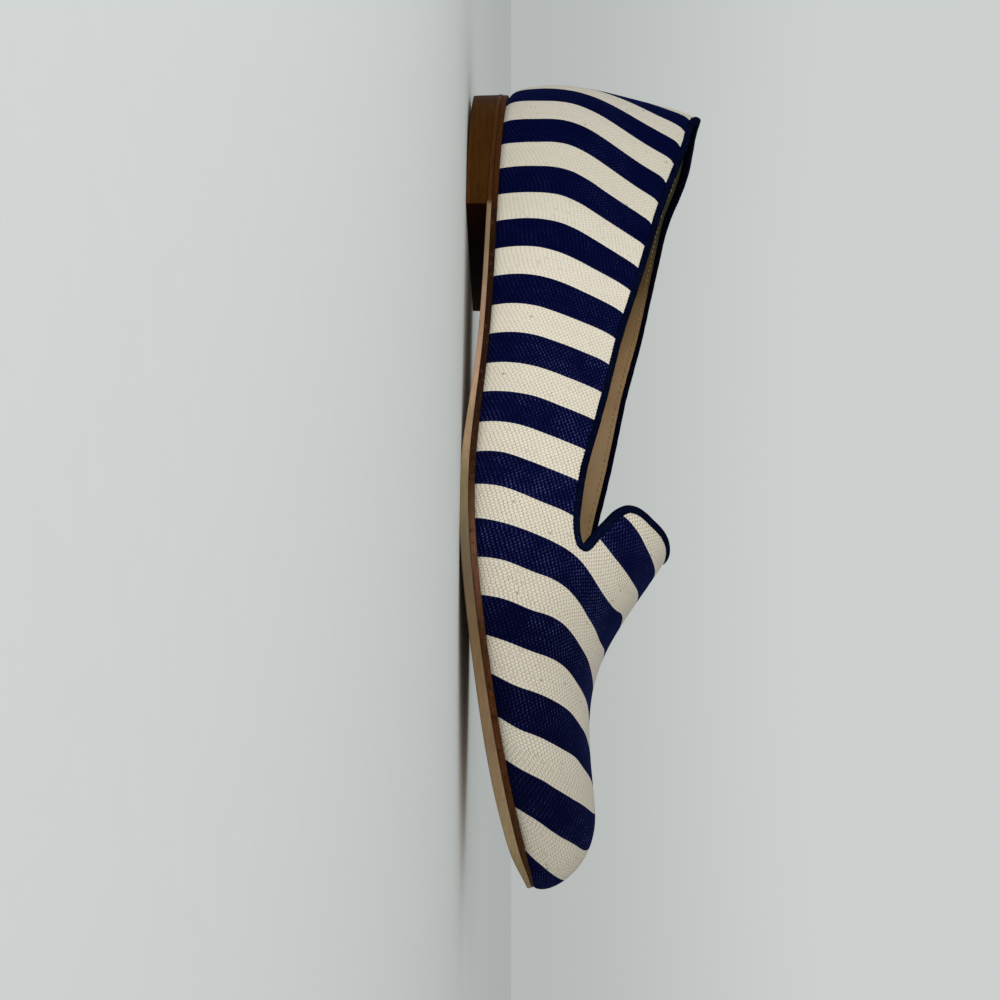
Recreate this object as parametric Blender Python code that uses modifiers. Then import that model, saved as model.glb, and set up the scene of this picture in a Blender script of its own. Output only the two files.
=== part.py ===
"""Slipper loafer: a woman's right shoe with a one-piece canvas upper and a low stacked heel.

+X points to the toe, +Y to the wearer's left, which is this shoe's inner side, and +Z up.
The shoe stands on z = 0. All sizes and tables are in millimetres and are turned to metres
when a mesh is made. "Along" is the distance from the back of the heel on the feather line,
the edge where the upper meets the sole. Side -1 is the outer side and +1 the inner side.
"""
import math

import bmesh
import bpy
import numpy as np
from mathutils import Matrix

MM = 0.001
LENGTH = 262.0
OUTER, INNER = -1, 1

# Feather line seen from above.
#  along, centre, half width
PLAN = (
    (10, 0.0, 22.1),
    (20, 0.0, 28.3),
    (30, -0.1, 30.9),
    (45, -0.4, 32.2),
    (70, -1.8, 31.5),
    (95, -3.4, 30.6),
    (120, -4.3, 31.5),
    (145, -3.8, 34.3),
    (165, -2.2, 37.5),
    (180, -0.7, 38.6),
    (195, 0.9, 38.1),
    (210, 2.4, 35.5),
    (225, 3.7, 30.5),
    (240, 4.8, 22.9),
    (250, 5.3, 16.2),
)
HEEL_FULLNESS = 66.0
TOE_FULLNESS = 41.0
TOE_CENTRE = 5.6

# Height of the feather line over the floor, with the arch's lift on the inner side.
#  along, height
FEATHER = ((0, 13.8), (45, 10.6), (80, 9.1), (115, 7.0), (150, 4.1), (185, 5.9),
           (210, 9.3), (235, 13.9), (262, 20.8))
ARCH_LIFT, ARCH_ALONG, ARCH_REACH = 2.5, 100.0, 63.0

# Top of the last over the floor. Behind the opening it is only the cone that shapes the walls.
#  along, height
RIDGE = ((0, 112), (40, 112), (80, 106), (105, 90), (150, 70.7), (170, 59), (190, 45.1),
         (210, 37.7), (230, 37.6), (245, 39.1), (262, 40.6))

# Shape of each cross section.
#  along, squareness seen from above, squareness in height, belly, belly height, ridge shift
SECTIONS = (
    (0, 2.1, 2.25, 3.2, 20, 0.0),
    (60, 2.6, 1.9, 2.4, 18, 0.6),
    (110, 2.3, 1.9, 2.2, 14, 1.2),
    (150, 2.1, 1.9, 2.5, 12, 2.6),
    (190, 2.15, 2.1, 2.3, 10, 2.9),
    (230, 2.33, 1.77, 1.7, 9, 1.5),
    (262, 2.5, 1.43, 1.4, 8, 0.0),
)

# How far the quarters lean in above the heel cup.
#  along, lean
LEAN = ((0, 1.0), (30, 4.5), (60, 6.0), (100, 5.0), (130, 3.0), (155, 1.0), (175, 0.0), (262, 0.0))
LEAN_START, LEAN_HEIGHT = 12.0, 40.0
# Round its back the top of the heel cup curls in by the first where it is the third higher
# than the second over the feather line, fading over the fourth along the edge.
CURL, CURL_START, CURL_HEIGHT, CURL_REACH = 1.2, 56.0, 10.0, 25.0

# The section lines fan out round an axis at the heel and at the toe.
HEEL_AXIS, HEEL_BLEND = 33.0, 64.0
TOE_AXIS, TOE_BLEND = 26.0, 56.0
FAN = 0.35

# Edge of the opening from the back of the heel to the side notch.
#  along, height on the outer side, height on the inner side
TOPLINE = (
    (0, 80.4, 80.4),
    (12, 76.6, 78.2),
    (25, 73.1, 73.5),
    (45, 66.8, 68.6),
    (70, 58.8, 62.9),
    (100, 49.4, 55.0),
    (130, 41.4, 48.1),
    (150, 35.9, 43.0),
    (162, 33.9, 40.2),
    (167, 33.7, 39.2),
    (170.8, 34.7, 39.6),
)
# Edge of the tab from the notch to the ridge, over the girth between those two.
#  along, share of that girth
TAB = (
    (168.3, 0.045),
    (163.3, 0.124),
    (160.0, 0.18),
    (157.8, 0.24),
    (157.1, 0.31),
    (158.7, 0.44),
    (160.4, 0.55),
    (161.8, 0.67),
    (163.5, 0.81),
    (164.4, 1.0),
)

WALL = 2.0
BINDING_WIDTH = 2.6
BINDING_THICKNESS = 3.0
BINDING_ROUNDING = 0.8
# Room between neighbouring pieces, and between the binding and the wall round tight turns.
GAP = 0.3
BINDING_GAP = 0.42

# The foot of the heel cup draws in by the first at the very back. That fades over the second
# along the edge and over the third up the wall.
BACK_TUCK, BACK_REACH, BACK_FADE = 1.5, 22.0, 1.2
# At the tip of the toe the sole's edge draws in by the first and the rand thins by the share.
TIP_TUCK, TIP_THINNING, TIP_REACH = 1.1, 0.5, 7.0

# How far the edges of the sole's layers stand out from the feather line.
MIDSOLE_EDGE = 0.9
OUTSOLE_EDGE = 1.2
MIDSOLE_THICKNESS = 1.8
# Thickness of the outsole.
#  along, thickness
OUTSOLE = ((0, 1.2), (60, 1.2), (100, 1.25), (120, 1.35), (150, 2.15), (175, 2.35),
           (210, 2.5), (245, 2.6), (256, 1.9), (262, 1.0))
INSOLE_THICKNESS = 2.5
# How far the insole's lower and upper edges stay inside the feather line.
INSOLE_INSET, INSOLE_TOP_INSET = 2.7, 2.6

# The heel's front face crosses the shoe from here on the outer side to there on the inner.
BREAST_OUTER, BREAST_INNER = 60.2, 62.4
TOP_PIECE_THICKNESS = 3.9
HEEL_HEIGHT = 9.0
HEEL_EDGE = 1.0
# How far the heel draws in towards the floor.
HEEL_TAPER = 0.2

# Typical length of a section from the feather line to the ridge.
GIRTH = 82.0

# How finely the meshes are divided.
SECTION_SAMPLES = 121
EDGE_SAMPLES, FINE_SAMPLES = 64, 2000
EDGE_STEP, EDGE_TURN = 7.0, 0.16
HEEL_STATIONS, WAIST_STATIONS, NOTCH_STATIONS, VAMP_STATIONS = 14, 11, 7, 21
NOTCH_REACH = 9.0
FOOT_ROW = 0.035
WALL_ROWS, TAB_ROWS, TAB_COLUMNS = 8, 9, 4
LAYER_STATIONS = 45
RINGS = (1.0, 0.5, 0.0)
HEEL_REACH = 75.0
WELD = 0.02


def curve_through(rows, column):
    """A natural cubic spline through one column of a table over its first column."""
    x = np.array([row[0] for row in rows], float)
    y = np.array([row[column] for row in rows], float)
    steps = np.diff(x)
    count = len(x)
    matrix = np.eye(count)
    right = np.zeros(count)
    for i in range(1, count - 1):
        matrix[i, i - 1:i + 2] = steps[i - 1], 2 * (steps[i - 1] + steps[i]), steps[i]
        right[i] = 6 * ((y[i + 1] - y[i]) / steps[i] - (y[i] - y[i - 1]) / steps[i - 1])
    bend = np.linalg.solve(matrix, right)

    def value(at):
        at = np.asarray(at, float)
        i = np.clip(np.searchsorted(x, at) - 1, 0, count - 2)
        t = at - x[i]
        h = steps[i]
        slope = (y[i + 1] - y[i]) / h - h * (2 * bend[i] + bend[i + 1]) / 6
        return y[i] + t * slope + t ** 2 * bend[i] / 2 + t ** 3 * (bend[i + 1] - bend[i]) / (6 * h)

    return value


def station(along):
    """The angle of a station: 0 at the back of the heel, pi at the tip of the toe."""
    return np.arccos(np.clip(1 - 2 * np.asarray(along, float) / LENGTH, -1, 1))


def along_of(angle):
    return LENGTH / 2 * (1 - np.cos(angle))


FULLNESS = [(0.0, HEEL_FULLNESS)]
FULLNESS += [(float(station(along)), half / math.sin(station(along))) for along, _, half in PLAN]
FULLNESS += [(math.pi, TOE_FULLNESS)]
fullness = curve_through(FULLNESS, 1)
centre_line = curve_through(((0, 0.0),) + PLAN + ((LENGTH, TOE_CENTRE),), 1)
feather_height = curve_through(FEATHER, 1)
ridge_height = curve_through(RIDGE, 1)
plan_power, height_power, belly, belly_height, ridge_shift = (
    curve_through(SECTIONS, column) for column in range(1, 6))
lean = curve_through(LEAN, 1)
outsole_thickness = curve_through(OUTSOLE, 1)


def feather_plan(angle, side, grow=0.0):
    """The feather line in plan, moved out by grow square to itself."""
    step = 1e-4

    def point(at):
        along = along_of(at)
        return along, centre_line(along) + side * fullness(at) * np.sin(at)

    x, y = point(angle)
    x_next, y_next = point(angle + step)
    x_back, y_back = point(angle - step)
    dx, dy = x_next - x_back, y_next - y_back
    run = np.hypot(dx, dy)
    return x - side * grow * dy / run, y + side * grow * dx / run


def spine_foot(along):
    """Where the section line of a station starts on the centre of the shoe."""

    def blend(distance, axis, length):
        t = np.clip(distance / length, 0, 1)
        return (axis * (1 - 3 * t ** 2 + 2 * t ** 3) + length * (3 * t ** 2 - 2 * t ** 3)
                + FAN * length * (t ** 3 - 2 * t ** 2 + t) + length * (t ** 3 - t ** 2))

    from_heel = blend(along, HEEL_AXIS, HEEL_BLEND)
    from_toe = LENGTH - blend(LENGTH - along, TOE_AXIS, TOE_BLEND)
    return np.where(along < HEEL_BLEND, from_heel,
                    np.where(along > LENGTH - TOE_BLEND, from_toe, along))


def feather_at(along, across=0.0):
    """Height of the feather plane; across runs from 0 at the centre to 1 at the inner edge."""
    lift = np.cos(np.clip((along - ARCH_ALONG) / ARCH_REACH, -1, 1) * math.pi / 2) ** 2
    return feather_height(along) + ARCH_LIFT * lift * np.clip(across, 0, 1) ** 2


def back_tuck(along):
    """How far the foot of the shoe draws in round the back of the heel."""
    return BACK_TUCK * np.exp(-(along / BACK_REACH) ** 2)


def near_tip(along):
    """1 at the tip of the toe, falling to 0 behind it."""
    return np.exp(-((LENGTH - along) / TIP_REACH) ** 2)


def sole_edge(stand):
    """How far a layer's edge stands out from the feather line, as a function of along."""
    return lambda along: stand - back_tuck(along) - TIP_TUCK * near_tip(along)


def sections(angle, side):
    """Outside of the upper at each station, from the feather line up to the ridge."""
    angle = np.atleast_1d(angle)[:, None]
    rise = np.linspace(0, math.pi / 2, SECTION_SAMPLES)[None, :]
    along = along_of(angle)
    edge_x, edge_y = feather_plan(angle, side)
    foot_x = spine_foot(along)
    foot_y = centre_line(foot_x) + ridge_shift(foot_x)
    out_x, out_y = edge_x - foot_x, edge_y - foot_y
    reach = np.hypot(out_x, out_y)
    out = np.cos(rise).clip(0) ** (2 / plan_power(along))
    up = np.sin(rise) ** (2 / height_power(along))
    base = feather_at(along, max(side, 0))
    x = foot_x + out * out_x
    z = base + (ridge_height(x) - base) * up
    level = (z - base) / belly_height(along)
    leaning = np.clip((z - base - LEAN_START) / LEAN_HEIGHT, 0, 1)
    push = belly(along) * level * np.exp(1 - level)
    push = push - np.clip(lean(along), 0, None) * leaning ** 2 * (3 - 2 * leaning)
    curling = np.clip((z - base - CURL_START) / CURL_HEIGHT, 0, 1.5) ** 2
    push = push - CURL * curling * np.exp(-(along / CURL_REACH) ** 2)
    push = push * (1 - (1 - out) ** 3)
    push = push - back_tuck(along) * np.exp((base - z) / BACK_FADE)
    x = x + push * out_x / reach
    y = foot_y + out * out_y + push * out_y / reach
    return np.stack(np.broadcast_arrays(x, y, z + GAP), -1)


def skin(angle, side, share):
    """Points of the outside of the upper; share runs along the girth from feather to ridge."""
    angle, share = np.broadcast_arrays(np.atleast_1d(angle), share)
    lines = sections(angle.ravel(), side)
    lengths = np.linalg.norm(np.diff(lines, axis=1), axis=2)
    girth = np.concatenate([np.zeros((len(lines), 1)), np.cumsum(lengths, axis=1)], axis=1)
    target = share.ravel() * girth[:, -1]
    i = np.array([np.searchsorted(row, value) for row, value in zip(girth, target)])
    i = i.clip(1, SECTION_SAMPLES - 1)
    k = np.arange(len(lines))
    t = (target - girth[k, i - 1]) / (girth[k, i] - girth[k, i - 1])
    points = lines[k, i - 1] + t[:, None] * (lines[k, i] - lines[k, i - 1])
    return points.reshape(angle.shape + (3,))


def share_at_height(angle, side, height):
    """The share of the girth at which a section reaches a height over the floor."""
    line = sections(angle, side)[0]
    girth = np.concatenate([[0], np.cumsum(np.linalg.norm(np.diff(line, axis=0), axis=1))])
    return float(np.interp(height, line[:, 2], girth) / girth[-1])


def opening_edge(side):
    """The edge of opening, notch and tab on one side, as station angles and girth shares,
    with more samples where it turns."""
    column = 1 if side == OUTER else 2
    rows = [(row[0], share_at_height(station(row[0]), side, row[column])) for row in TOPLINE]
    notch = rows[-1][1]
    rows += [(along, notch + part * (1 - notch)) for along, part in TAB]
    before = (-rows[1][0], rows[1][1])
    after = (rows[-2][0], 2 - rows[-2][1])
    knots = np.array([before] + rows + [after])
    run = distance_along(knots)
    table = np.column_stack([run, knots])
    along, share = curve_through(table, 1), curve_through(table, 2)
    fine = np.linspace(run[1], run[-2], FINE_SAMPLES)
    runs = np.diff([along(fine), share(fine) * GIRTH], axis=1)
    turning = np.cumsum(np.abs(np.diff(np.unwrap(np.arctan2(*runs)))))
    samples_by = fine[1:-1] / EDGE_STEP + turning / EDGE_TURN
    at = np.interp(np.linspace(samples_by[0], samples_by[-1], EDGE_SAMPLES), samples_by, fine[1:-1])
    at[[0, -1]] = run[1], run[-2]
    return station(along(at).clip(0)), share(at).clip(0, 1)


def distance_along(knots):
    """Running length of an edge given as distances along and girth shares."""
    steps = np.diff(knots * (1, GIRTH), axis=0)
    return np.concatenate([[0], np.cumsum(np.hypot(*steps.T))])


def skin_slopes(angle, side, share):
    """Change of the skin's points by angle and by share."""
    step = 1e-3
    high, low = np.minimum(share + step, 1), share - step
    by_angle = (skin(angle + step, side, share) - skin(angle - step, side, share)) / (2 * step)
    by_share = (skin(angle, side, high) - skin(angle, side, low)) / (high - low)[:, None]
    return by_angle, by_share


def inset(angle, share, side, width):
    """Moves an edge into the material by a width measured on the skin, square to the edge."""
    if not width:
        return angle, share
    by_angle, by_share = skin_slopes(angle, side, share)
    along_edge = np.gradient(skin(angle, side, share), axis=0)
    into = -np.cross(np.cross(by_angle, by_share), along_edge)
    into *= width / np.linalg.norm(into, axis=1)[:, None]
    moves = [np.linalg.lstsq(np.stack(slopes, 1), move, rcond=None)[0]
             for *slopes, move in zip(by_angle, by_share, into)]
    angle, share = angle + np.array(moves)[:, 0], share + np.array(moves)[:, 1]
    angle[0], share[-1] = 0, 1
    return angle, share


def outward(angle, side, share):
    """Unit normals of the skin, pointing out of the shoe."""
    normal = -side * np.cross(*skin_slopes(angle, side, share))
    return normal / np.linalg.norm(normal, axis=-1, keepdims=True)


class Cage:
    """Collects the grids of points that make up one mesh."""

    def __init__(self):
        self.points = []
        self.faces = []

    def grid(self, points):
        """Adds the quads between the points of a grid, rows by columns."""
        rows, columns = points.shape[:2]
        first = len(self.points)
        self.points += list(points.reshape(-1, 3))
        for row in range(rows - 1):
            for column in range(columns - 1):
                corner = first + row * columns + column
                self.faces.append((corner, corner + 1, corner + columns + 1, corner + columns))


def make_object(name, cage, colour, roughness, collection):
    """A mesh object in metres, with the seams between its grids welded and its faces turned
    one way."""
    mesh = bpy.data.meshes.new(name)
    mesh.from_pydata([tuple(point * MM) for point in cage.points], [], cage.faces)
    work = bmesh.new()
    work.from_mesh(mesh)
    bmesh.ops.remove_doubles(work, verts=work.verts, dist=WELD * MM)
    bmesh.ops.recalc_face_normals(work, faces=work.faces)
    work.to_mesh(mesh)
    work.free()
    finish = bpy.data.materials.new(name + "_finish")
    finish.use_nodes = True
    shader = finish.node_tree.nodes["Principled BSDF"]
    shader.inputs["Base Color"].default_value = (*colour, 1.0)
    shader.inputs["Roughness"].default_value = roughness
    finish.diffuse_color = (*colour, 1.0)
    mesh.materials.append(finish)
    piece = bpy.data.objects.new(name, mesh)
    collection.objects.link(piece)
    return piece


def smooth(piece, sharp_degrees=35):
    piece.data.shade_smooth()
    piece.data.set_sharp_from_angle(angle=math.radians(sharp_degrees))


def thicken(piece, thickness):
    """Gives an open skin its thickness, towards the foot."""
    face_away_from_foot(piece)
    wall = piece.modifiers.new("wall", "SOLIDIFY")
    wall.thickness = thickness * MM
    wall.offset = -1
    wall.use_even_offset = True


def face_away_from_foot(piece):
    """Turns an open skin's faces out, judged where it lies farthest to the outer side."""
    outermost = min(piece.data.polygons, key=lambda face: face.center.y)
    if outermost.normal.y > 0:
        piece.data.flip_normals()


def make_upper(collection):
    """One wall of canvas and lining: quarters, vamp and tab, open at the collar and beneath."""
    cage = Cage()
    edges = [inset(*opening_edge(side), side, BINDING_WIDTH + BINDING_GAP) for side in (OUTER, INNER)]
    notch_angle = min(angle.max() for angle, _ in edges)
    ridge_angle = np.mean([angle[-1] for angle, _ in edges])
    notch_along = along_of(notch_angle)
    heel = station(HEEL_BLEND * np.linspace(0, 1, HEEL_STATIONS) ** 1.6)
    waist = station(np.linspace(HEEL_BLEND, notch_along - NOTCH_REACH, WAIST_STATIONS))
    throat = station(notch_along - NOTCH_REACH * np.linspace(1, 0, NOTCH_STATIONS) ** 2)
    quarter = np.concatenate([heel[:-1], waist[:-1], throat])
    forefoot = station(LENGTH - (LENGTH - notch_along) * np.linspace(1, 0, VAMP_STATIONS) ** 1.35)

    low_rows = np.insert(np.linspace(0, 1, WALL_ROWS + 1), 1, FOOT_ROW)
    high_rows = np.linspace(0, 1, TAB_ROWS + 1) ** 1.7
    toe_split = np.mean([share[np.argmax(angle)] for angle, share in edges])
    for side, (angle, share) in zip((OUTER, INNER), edges):
        notch = int(np.argmax(angle))
        angle = np.minimum(angle, notch_angle)
        angle[-1] = ridge_angle
        top = np.interp(quarter, angle[:notch + 1], share[:notch + 1])
        top[-1] = share[notch]
        cage.grid(skin(quarter[:, None], side, top[:, None] * low_rows))

        split = np.linspace(share[notch], toe_split, VAMP_STATIONS)[:, None]
        rows = np.hstack([split * low_rows, split + (1 - split) * high_rows[1:]])
        cage.grid(skin(forefoot[:, None], side, rows))

        high = share[notch] + (1 - share[notch]) * high_rows
        back = np.interp(high, share[notch:], angle[notch:])
        across = back + (notch_angle - back) * np.linspace(0, 1, TAB_COLUMNS + 1)[:, None]
        cage.grid(skin(across, side, high[None, :]))

    upper = make_object("upper", cage, (0.70, 0.62, 0.50), 0.9, collection)
    thicken(upper, WALL)
    smooth(upper)


def make_binding(collection):
    """A folded ribbon round the whole edge of the opening, a little thicker than the wall."""
    cage = Cage()
    ribbons = []
    for side in (OUTER, INNER):
        angle, share = opening_edge(side)
        lines = [inset(angle, share, side, width) for width in (BINDING_WIDTH, 0)]
        proud = (BINDING_THICKNESS - WALL) / 2
        ribbons.append([skin(a, side, s) + proud * outward(a, side, s) for a, s in lines])
    ribbons = np.array(ribbons)
    ribbons[:, :, [0, -1]] = ribbons[:, :, [0, -1]].mean(axis=0)
    for ribbon in ribbons:
        cage.grid(ribbon)
    binding = make_object("topline_binding", cage, (0.01, 0.012, 0.09), 0.8, collection)
    thicken(binding, BINDING_THICKNESS)
    rounding = binding.modifiers.new("rounding", "BEVEL")
    rounding.width = BINDING_ROUNDING * MM
    rounding.segments = 1
    rounding.limit_method = "ANGLE"
    rounding.angle_limit = math.radians(55)
    smooth(binding, 60)


def make_layer(name, edges, faces, colour, roughness, collection, reach=LENGTH):
    """A solid layer of the sole from the back of the heel to reach. edges holds how far its
    top and bottom edges stand out from the feather line, and faces the functions of along and
    across that give the heights of its top and bottom."""
    cage = Cage()
    angles = np.linspace(0, station(reach), LAYER_STATIONS)
    along = along_of(angles)
    foot = np.stack([spine_foot(along), centre_line(spine_foot(along))], -1)
    for side in (OUTER, INNER):
        rims = []
        for stand, face in zip(edges, faces):
            edge = np.stack(feather_plan(angles, side, stand(along)), -1)
            level_x = feather_plan(angles, side, np.minimum(stand(along), 0))[0]
            rings = []
            for out in RINGS:
                plan = foot + out * (edge - foot)
                height = face(foot[:, 0] + out * (level_x - foot[:, 0]), out * max(side, 0))
                rings.append(np.column_stack([plan, height]))
            cage.grid(np.array(rings))
            rims.append(rings[0])
        cage.grid(np.array(rims))
    layer = make_object(name, cage, colour, roughness, collection)
    if reach < LENGTH:
        cut_breast(layer)
    smooth(layer)


def cut_breast(layer):
    """Cuts a heel layer off along the flat front of the heel and closes the cut."""
    outer, inner = (np.array([x, feather_plan(station(x), side)[1]])
                    for x, side in ((BREAST_OUTER, OUTER), (BREAST_INNER, INNER)))
    across = inner - outer
    work = bmesh.new()
    work.from_mesh(layer.data)
    bmesh.ops.bisect_plane(work, geom=work.verts[:] + work.edges[:] + work.faces[:],
                           plane_co=(*(outer * MM), 0), plane_no=(across[1], -across[0], 0),
                           clear_outer=True)
    bmesh.ops.holes_fill(work, edges=[edge for edge in work.edges if edge.is_boundary], sides=0)
    bmesh.ops.recalc_face_normals(work, faces=work.faces)
    work.to_mesh(layer.data)
    work.free()


def midsole_bottom(along, across):
    return feather_at(along, across) - MIDSOLE_THICKNESS * (1 - TIP_THINNING * near_tip(along))


def outsole_top(along, across):
    return midsole_bottom(along, across) - GAP


def outsole_bottom(along, across):
    """The underside, with the tread of the forefoot worn flat on the floor."""
    return np.maximum(outsole_top(along, across) - outsole_thickness(along), 0)


def heel_edge(level):
    """How far the heel stands out from the feather line at a level from 0 at the floor to 1."""
    return sole_edge(HEEL_EDGE - HEEL_TAPER * (1 - level))


def insole_edge(inset_by, height):
    """Keeps an edge of the insole inside the feather line, and clear of the tucked wall."""
    return lambda along: -inset_by - back_tuck(along) * math.exp(-height / BACK_FADE)


def level_face(height):
    return lambda along, across: np.full(np.shape(along), float(height))


def make_sole(collection):
    tan, brown, stack = (0.50, 0.33, 0.20), (0.20, 0.10, 0.05), (0.17, 0.075, 0.035)
    make_layer("insole", (insole_edge(INSOLE_TOP_INSET, INSOLE_THICKNESS),
                          insole_edge(INSOLE_INSET, 0)),
               (lambda x, y: feather_at(x, y) + GAP + INSOLE_THICKNESS,
                lambda x, y: feather_at(x, y) + GAP),
               tan, 0.6, collection)
    make_layer("midsole", (sole_edge(MIDSOLE_EDGE),) * 2, (feather_at, midsole_bottom),
               brown, 0.6, collection)
    make_layer("outsole", (sole_edge(OUTSOLE_EDGE),) * 2, (outsole_top, outsole_bottom),
               tan, 0.5, collection)
    split = TOP_PIECE_THICKNESS / HEEL_HEIGHT
    make_layer("heel_lift", (heel_edge(1), heel_edge(split)),
               (lambda x, y: outsole_bottom(x, y) - GAP, level_face(TOP_PIECE_THICKNESS + GAP)),
               stack, 0.45, collection, HEEL_REACH)
    make_layer("top_piece", (heel_edge(split), heel_edge(0)),
               (level_face(TOP_PIECE_THICKNESS), level_face(0)),
               brown, 0.5, collection, HEEL_REACH)


def centre_on_origin(pieces):
    """Moves the meshes so that the middle of the whole shoe's box stands over the origin."""
    bpy.context.view_layer.update()
    graph = bpy.context.evaluated_depsgraph_get()
    corners = np.array([corner for piece in pieces for corner in piece.evaluated_get(graph).bound_box])
    middle = (corners.min(axis=0) + corners.max(axis=0)) / 2
    for piece in pieces:
        piece.data.transform(Matrix.Translation((-middle[0], -middle[1], 0)))


def main():
    for old in list(bpy.data.objects):
        bpy.data.objects.remove(old, do_unlink=True)
    collection = bpy.data.collections.new("slipper_loafer")
    bpy.context.scene.collection.children.link(collection)
    make_upper(collection)
    make_binding(collection)
    make_sole(collection)
    centre_on_origin(list(collection.objects))


main()
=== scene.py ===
"""Looks of the slipper loafer: striped canvas, binding, lining, and a leather sole and heel.

The shoe's own frame has +X to the toe, +Y to the inner side and +Z up, in millimetres, with
x = 0 at the back of the heel on the feather line, the edge where the upper meets the sole.
Side -1 is the outer side and +1 the inner side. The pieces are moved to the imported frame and
turned to metres when their meshes are made.
"""
import math
from functools import partial, partialmethod

import bmesh
import bpy
import numpy as np
from mathutils import Matrix, Quaternion, Vector, noise


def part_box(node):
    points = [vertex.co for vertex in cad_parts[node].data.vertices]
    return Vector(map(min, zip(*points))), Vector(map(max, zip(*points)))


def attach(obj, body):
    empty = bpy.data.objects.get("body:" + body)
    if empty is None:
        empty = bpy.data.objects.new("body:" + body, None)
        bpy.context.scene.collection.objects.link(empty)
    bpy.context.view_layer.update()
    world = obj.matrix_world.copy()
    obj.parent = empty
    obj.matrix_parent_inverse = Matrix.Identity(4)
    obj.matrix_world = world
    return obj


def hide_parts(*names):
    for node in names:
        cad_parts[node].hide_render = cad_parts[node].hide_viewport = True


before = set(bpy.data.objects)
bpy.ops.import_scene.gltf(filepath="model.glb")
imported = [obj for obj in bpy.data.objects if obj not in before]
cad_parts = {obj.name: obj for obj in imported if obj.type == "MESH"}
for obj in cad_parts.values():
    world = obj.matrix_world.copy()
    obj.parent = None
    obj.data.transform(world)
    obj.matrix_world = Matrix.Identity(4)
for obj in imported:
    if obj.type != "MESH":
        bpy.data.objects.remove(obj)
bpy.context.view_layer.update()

MM = 0.001
LENGTH = 262.0
OUTER, INNER = -1, 1

# Feather line seen from above.
#  along, centre, half width
PLAN = (
    (10, 0.0, 22.1),
    (20, 0.0, 28.3),
    (30, -0.1, 30.9),
    (45, -0.4, 32.2),
    (70, -1.8, 31.5),
    (95, -3.4, 30.6),
    (120, -4.3, 31.5),
    (145, -3.8, 34.3),
    (165, -2.2, 37.5),
    (180, -0.7, 38.6),
    (195, 0.9, 38.1),
    (210, 2.4, 35.5),
    (225, 3.7, 30.5),
    (240, 4.8, 22.9),
    (250, 5.3, 16.2),
)
HEEL_FULLNESS = 66.0
TOE_FULLNESS = 41.0
TOE_CENTRE = 5.6

# Height of the feather line over the floor, with the arch's lift on the inner side.
#  along, height
FEATHER = ((0, 13.8), (45, 10.6), (80, 9.1), (115, 7.0), (150, 4.1), (185, 5.9),
           (210, 9.3), (235, 13.9), (262, 20.8))
ARCH_LIFT, ARCH_ALONG, ARCH_REACH = 2.5, 100.0, 63.0

# Top of the last over the floor. Behind the opening it is only the cone that shapes the walls.
#  along, height
RIDGE = ((0, 112), (40, 112), (80, 106), (105, 90), (150, 70.7), (170, 59), (190, 45.1),
         (210, 37.7), (230, 37.6), (245, 39.1), (262, 40.6))

# Shape of each cross section.
#  along, squareness seen from above, squareness in height, belly, belly height, ridge shift
SECTIONS = (
    (0, 2.1, 2.25, 3.2, 20, 0.0),
    (60, 2.6, 1.9, 2.4, 18, 0.6),
    (110, 2.3, 1.9, 2.2, 14, 1.2),
    (150, 2.1, 1.9, 2.5, 12, 2.6),
    (190, 2.15, 2.1, 2.3, 10, 2.9),
    (230, 2.33, 1.77, 1.7, 9, 1.5),
    (262, 2.5, 1.43, 1.4, 8, 0.0),
)

# How far the quarters lean in above the heel cup.
#  along, lean
LEAN = ((0, 1.0), (30, 4.5), (60, 6.0), (100, 5.0), (130, 3.0), (155, 1.0), (175, 0.0), (262, 0.0))
LEAN_START, LEAN_HEIGHT = 12.0, 40.0
# Round its back the top of the heel cup curls in by the first where it is the third higher
# than the second over the feather line, fading over the fourth along the edge.
CURL, CURL_START, CURL_HEIGHT, CURL_REACH = 1.2, 56.0, 10.0, 25.0

# The section lines fan out round an axis at the heel and at the toe.
HEEL_AXIS, HEEL_BLEND = 33.0, 64.0
TOE_AXIS, TOE_BLEND = 26.0, 56.0
FAN = 0.35

# Edge of the opening from the back of the heel to the side notch.
#  along, height on the outer side, height on the inner side
TOPLINE = (
    (0, 80.4, 80.4),
    (12, 76.6, 78.2),
    (25, 73.1, 73.5),
    (45, 66.8, 68.6),
    (70, 58.8, 62.9),
    (100, 49.4, 55.0),
    (130, 41.4, 48.1),
    (150, 35.9, 43.0),
    (162, 33.9, 40.2),
    (167, 33.7, 39.2),
    (170.8, 34.7, 39.6),
)
# Edge of the tab from the notch to the ridge, over the girth between those two.
#  along, share of that girth
TAB = (
    (168.3, 0.045),
    (163.3, 0.124),
    (160.0, 0.18),
    (157.8, 0.24),
    (157.1, 0.31),
    (158.7, 0.44),
    (160.4, 0.55),
    (161.8, 0.67),
    (163.5, 0.81),
    (164.4, 1.0),
)

WALL = 2.0
CANVAS_THICKNESS, LINING_THICKNESS = 1.0, 0.85
BINDING_WIDTH, BINDING_THICKNESS = 2.6, 3.0
#  along, how far the ribbon reaches down inside the shoe
INNER_LEG = ((0, 3.2), (20, 2.9), (40, 2.0), (70, 1.45), (262, 1.45))
# How far canvas and lining reach into the folded binding.
TUCK, LINING_TUCK = 1.3, 1.9
GAP = 0.3

# The foot of the heel cup draws in by the first at the very back. That fades over the second
# along the edge and over the third up the wall.
BACK_TUCK, BACK_REACH, BACK_FADE = 1.5, 22.0, 1.2
# At the tip of the toe the sole's edge draws in by the first and the rand thins by the share.
TIP_TUCK, TIP_THINNING, TIP_REACH = 1.1, 0.5, 7.0

MIDSOLE_EDGE, MIDSOLE_THICKNESS = 0.9, 1.8
OUTSOLE_EDGE = 1.2
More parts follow.
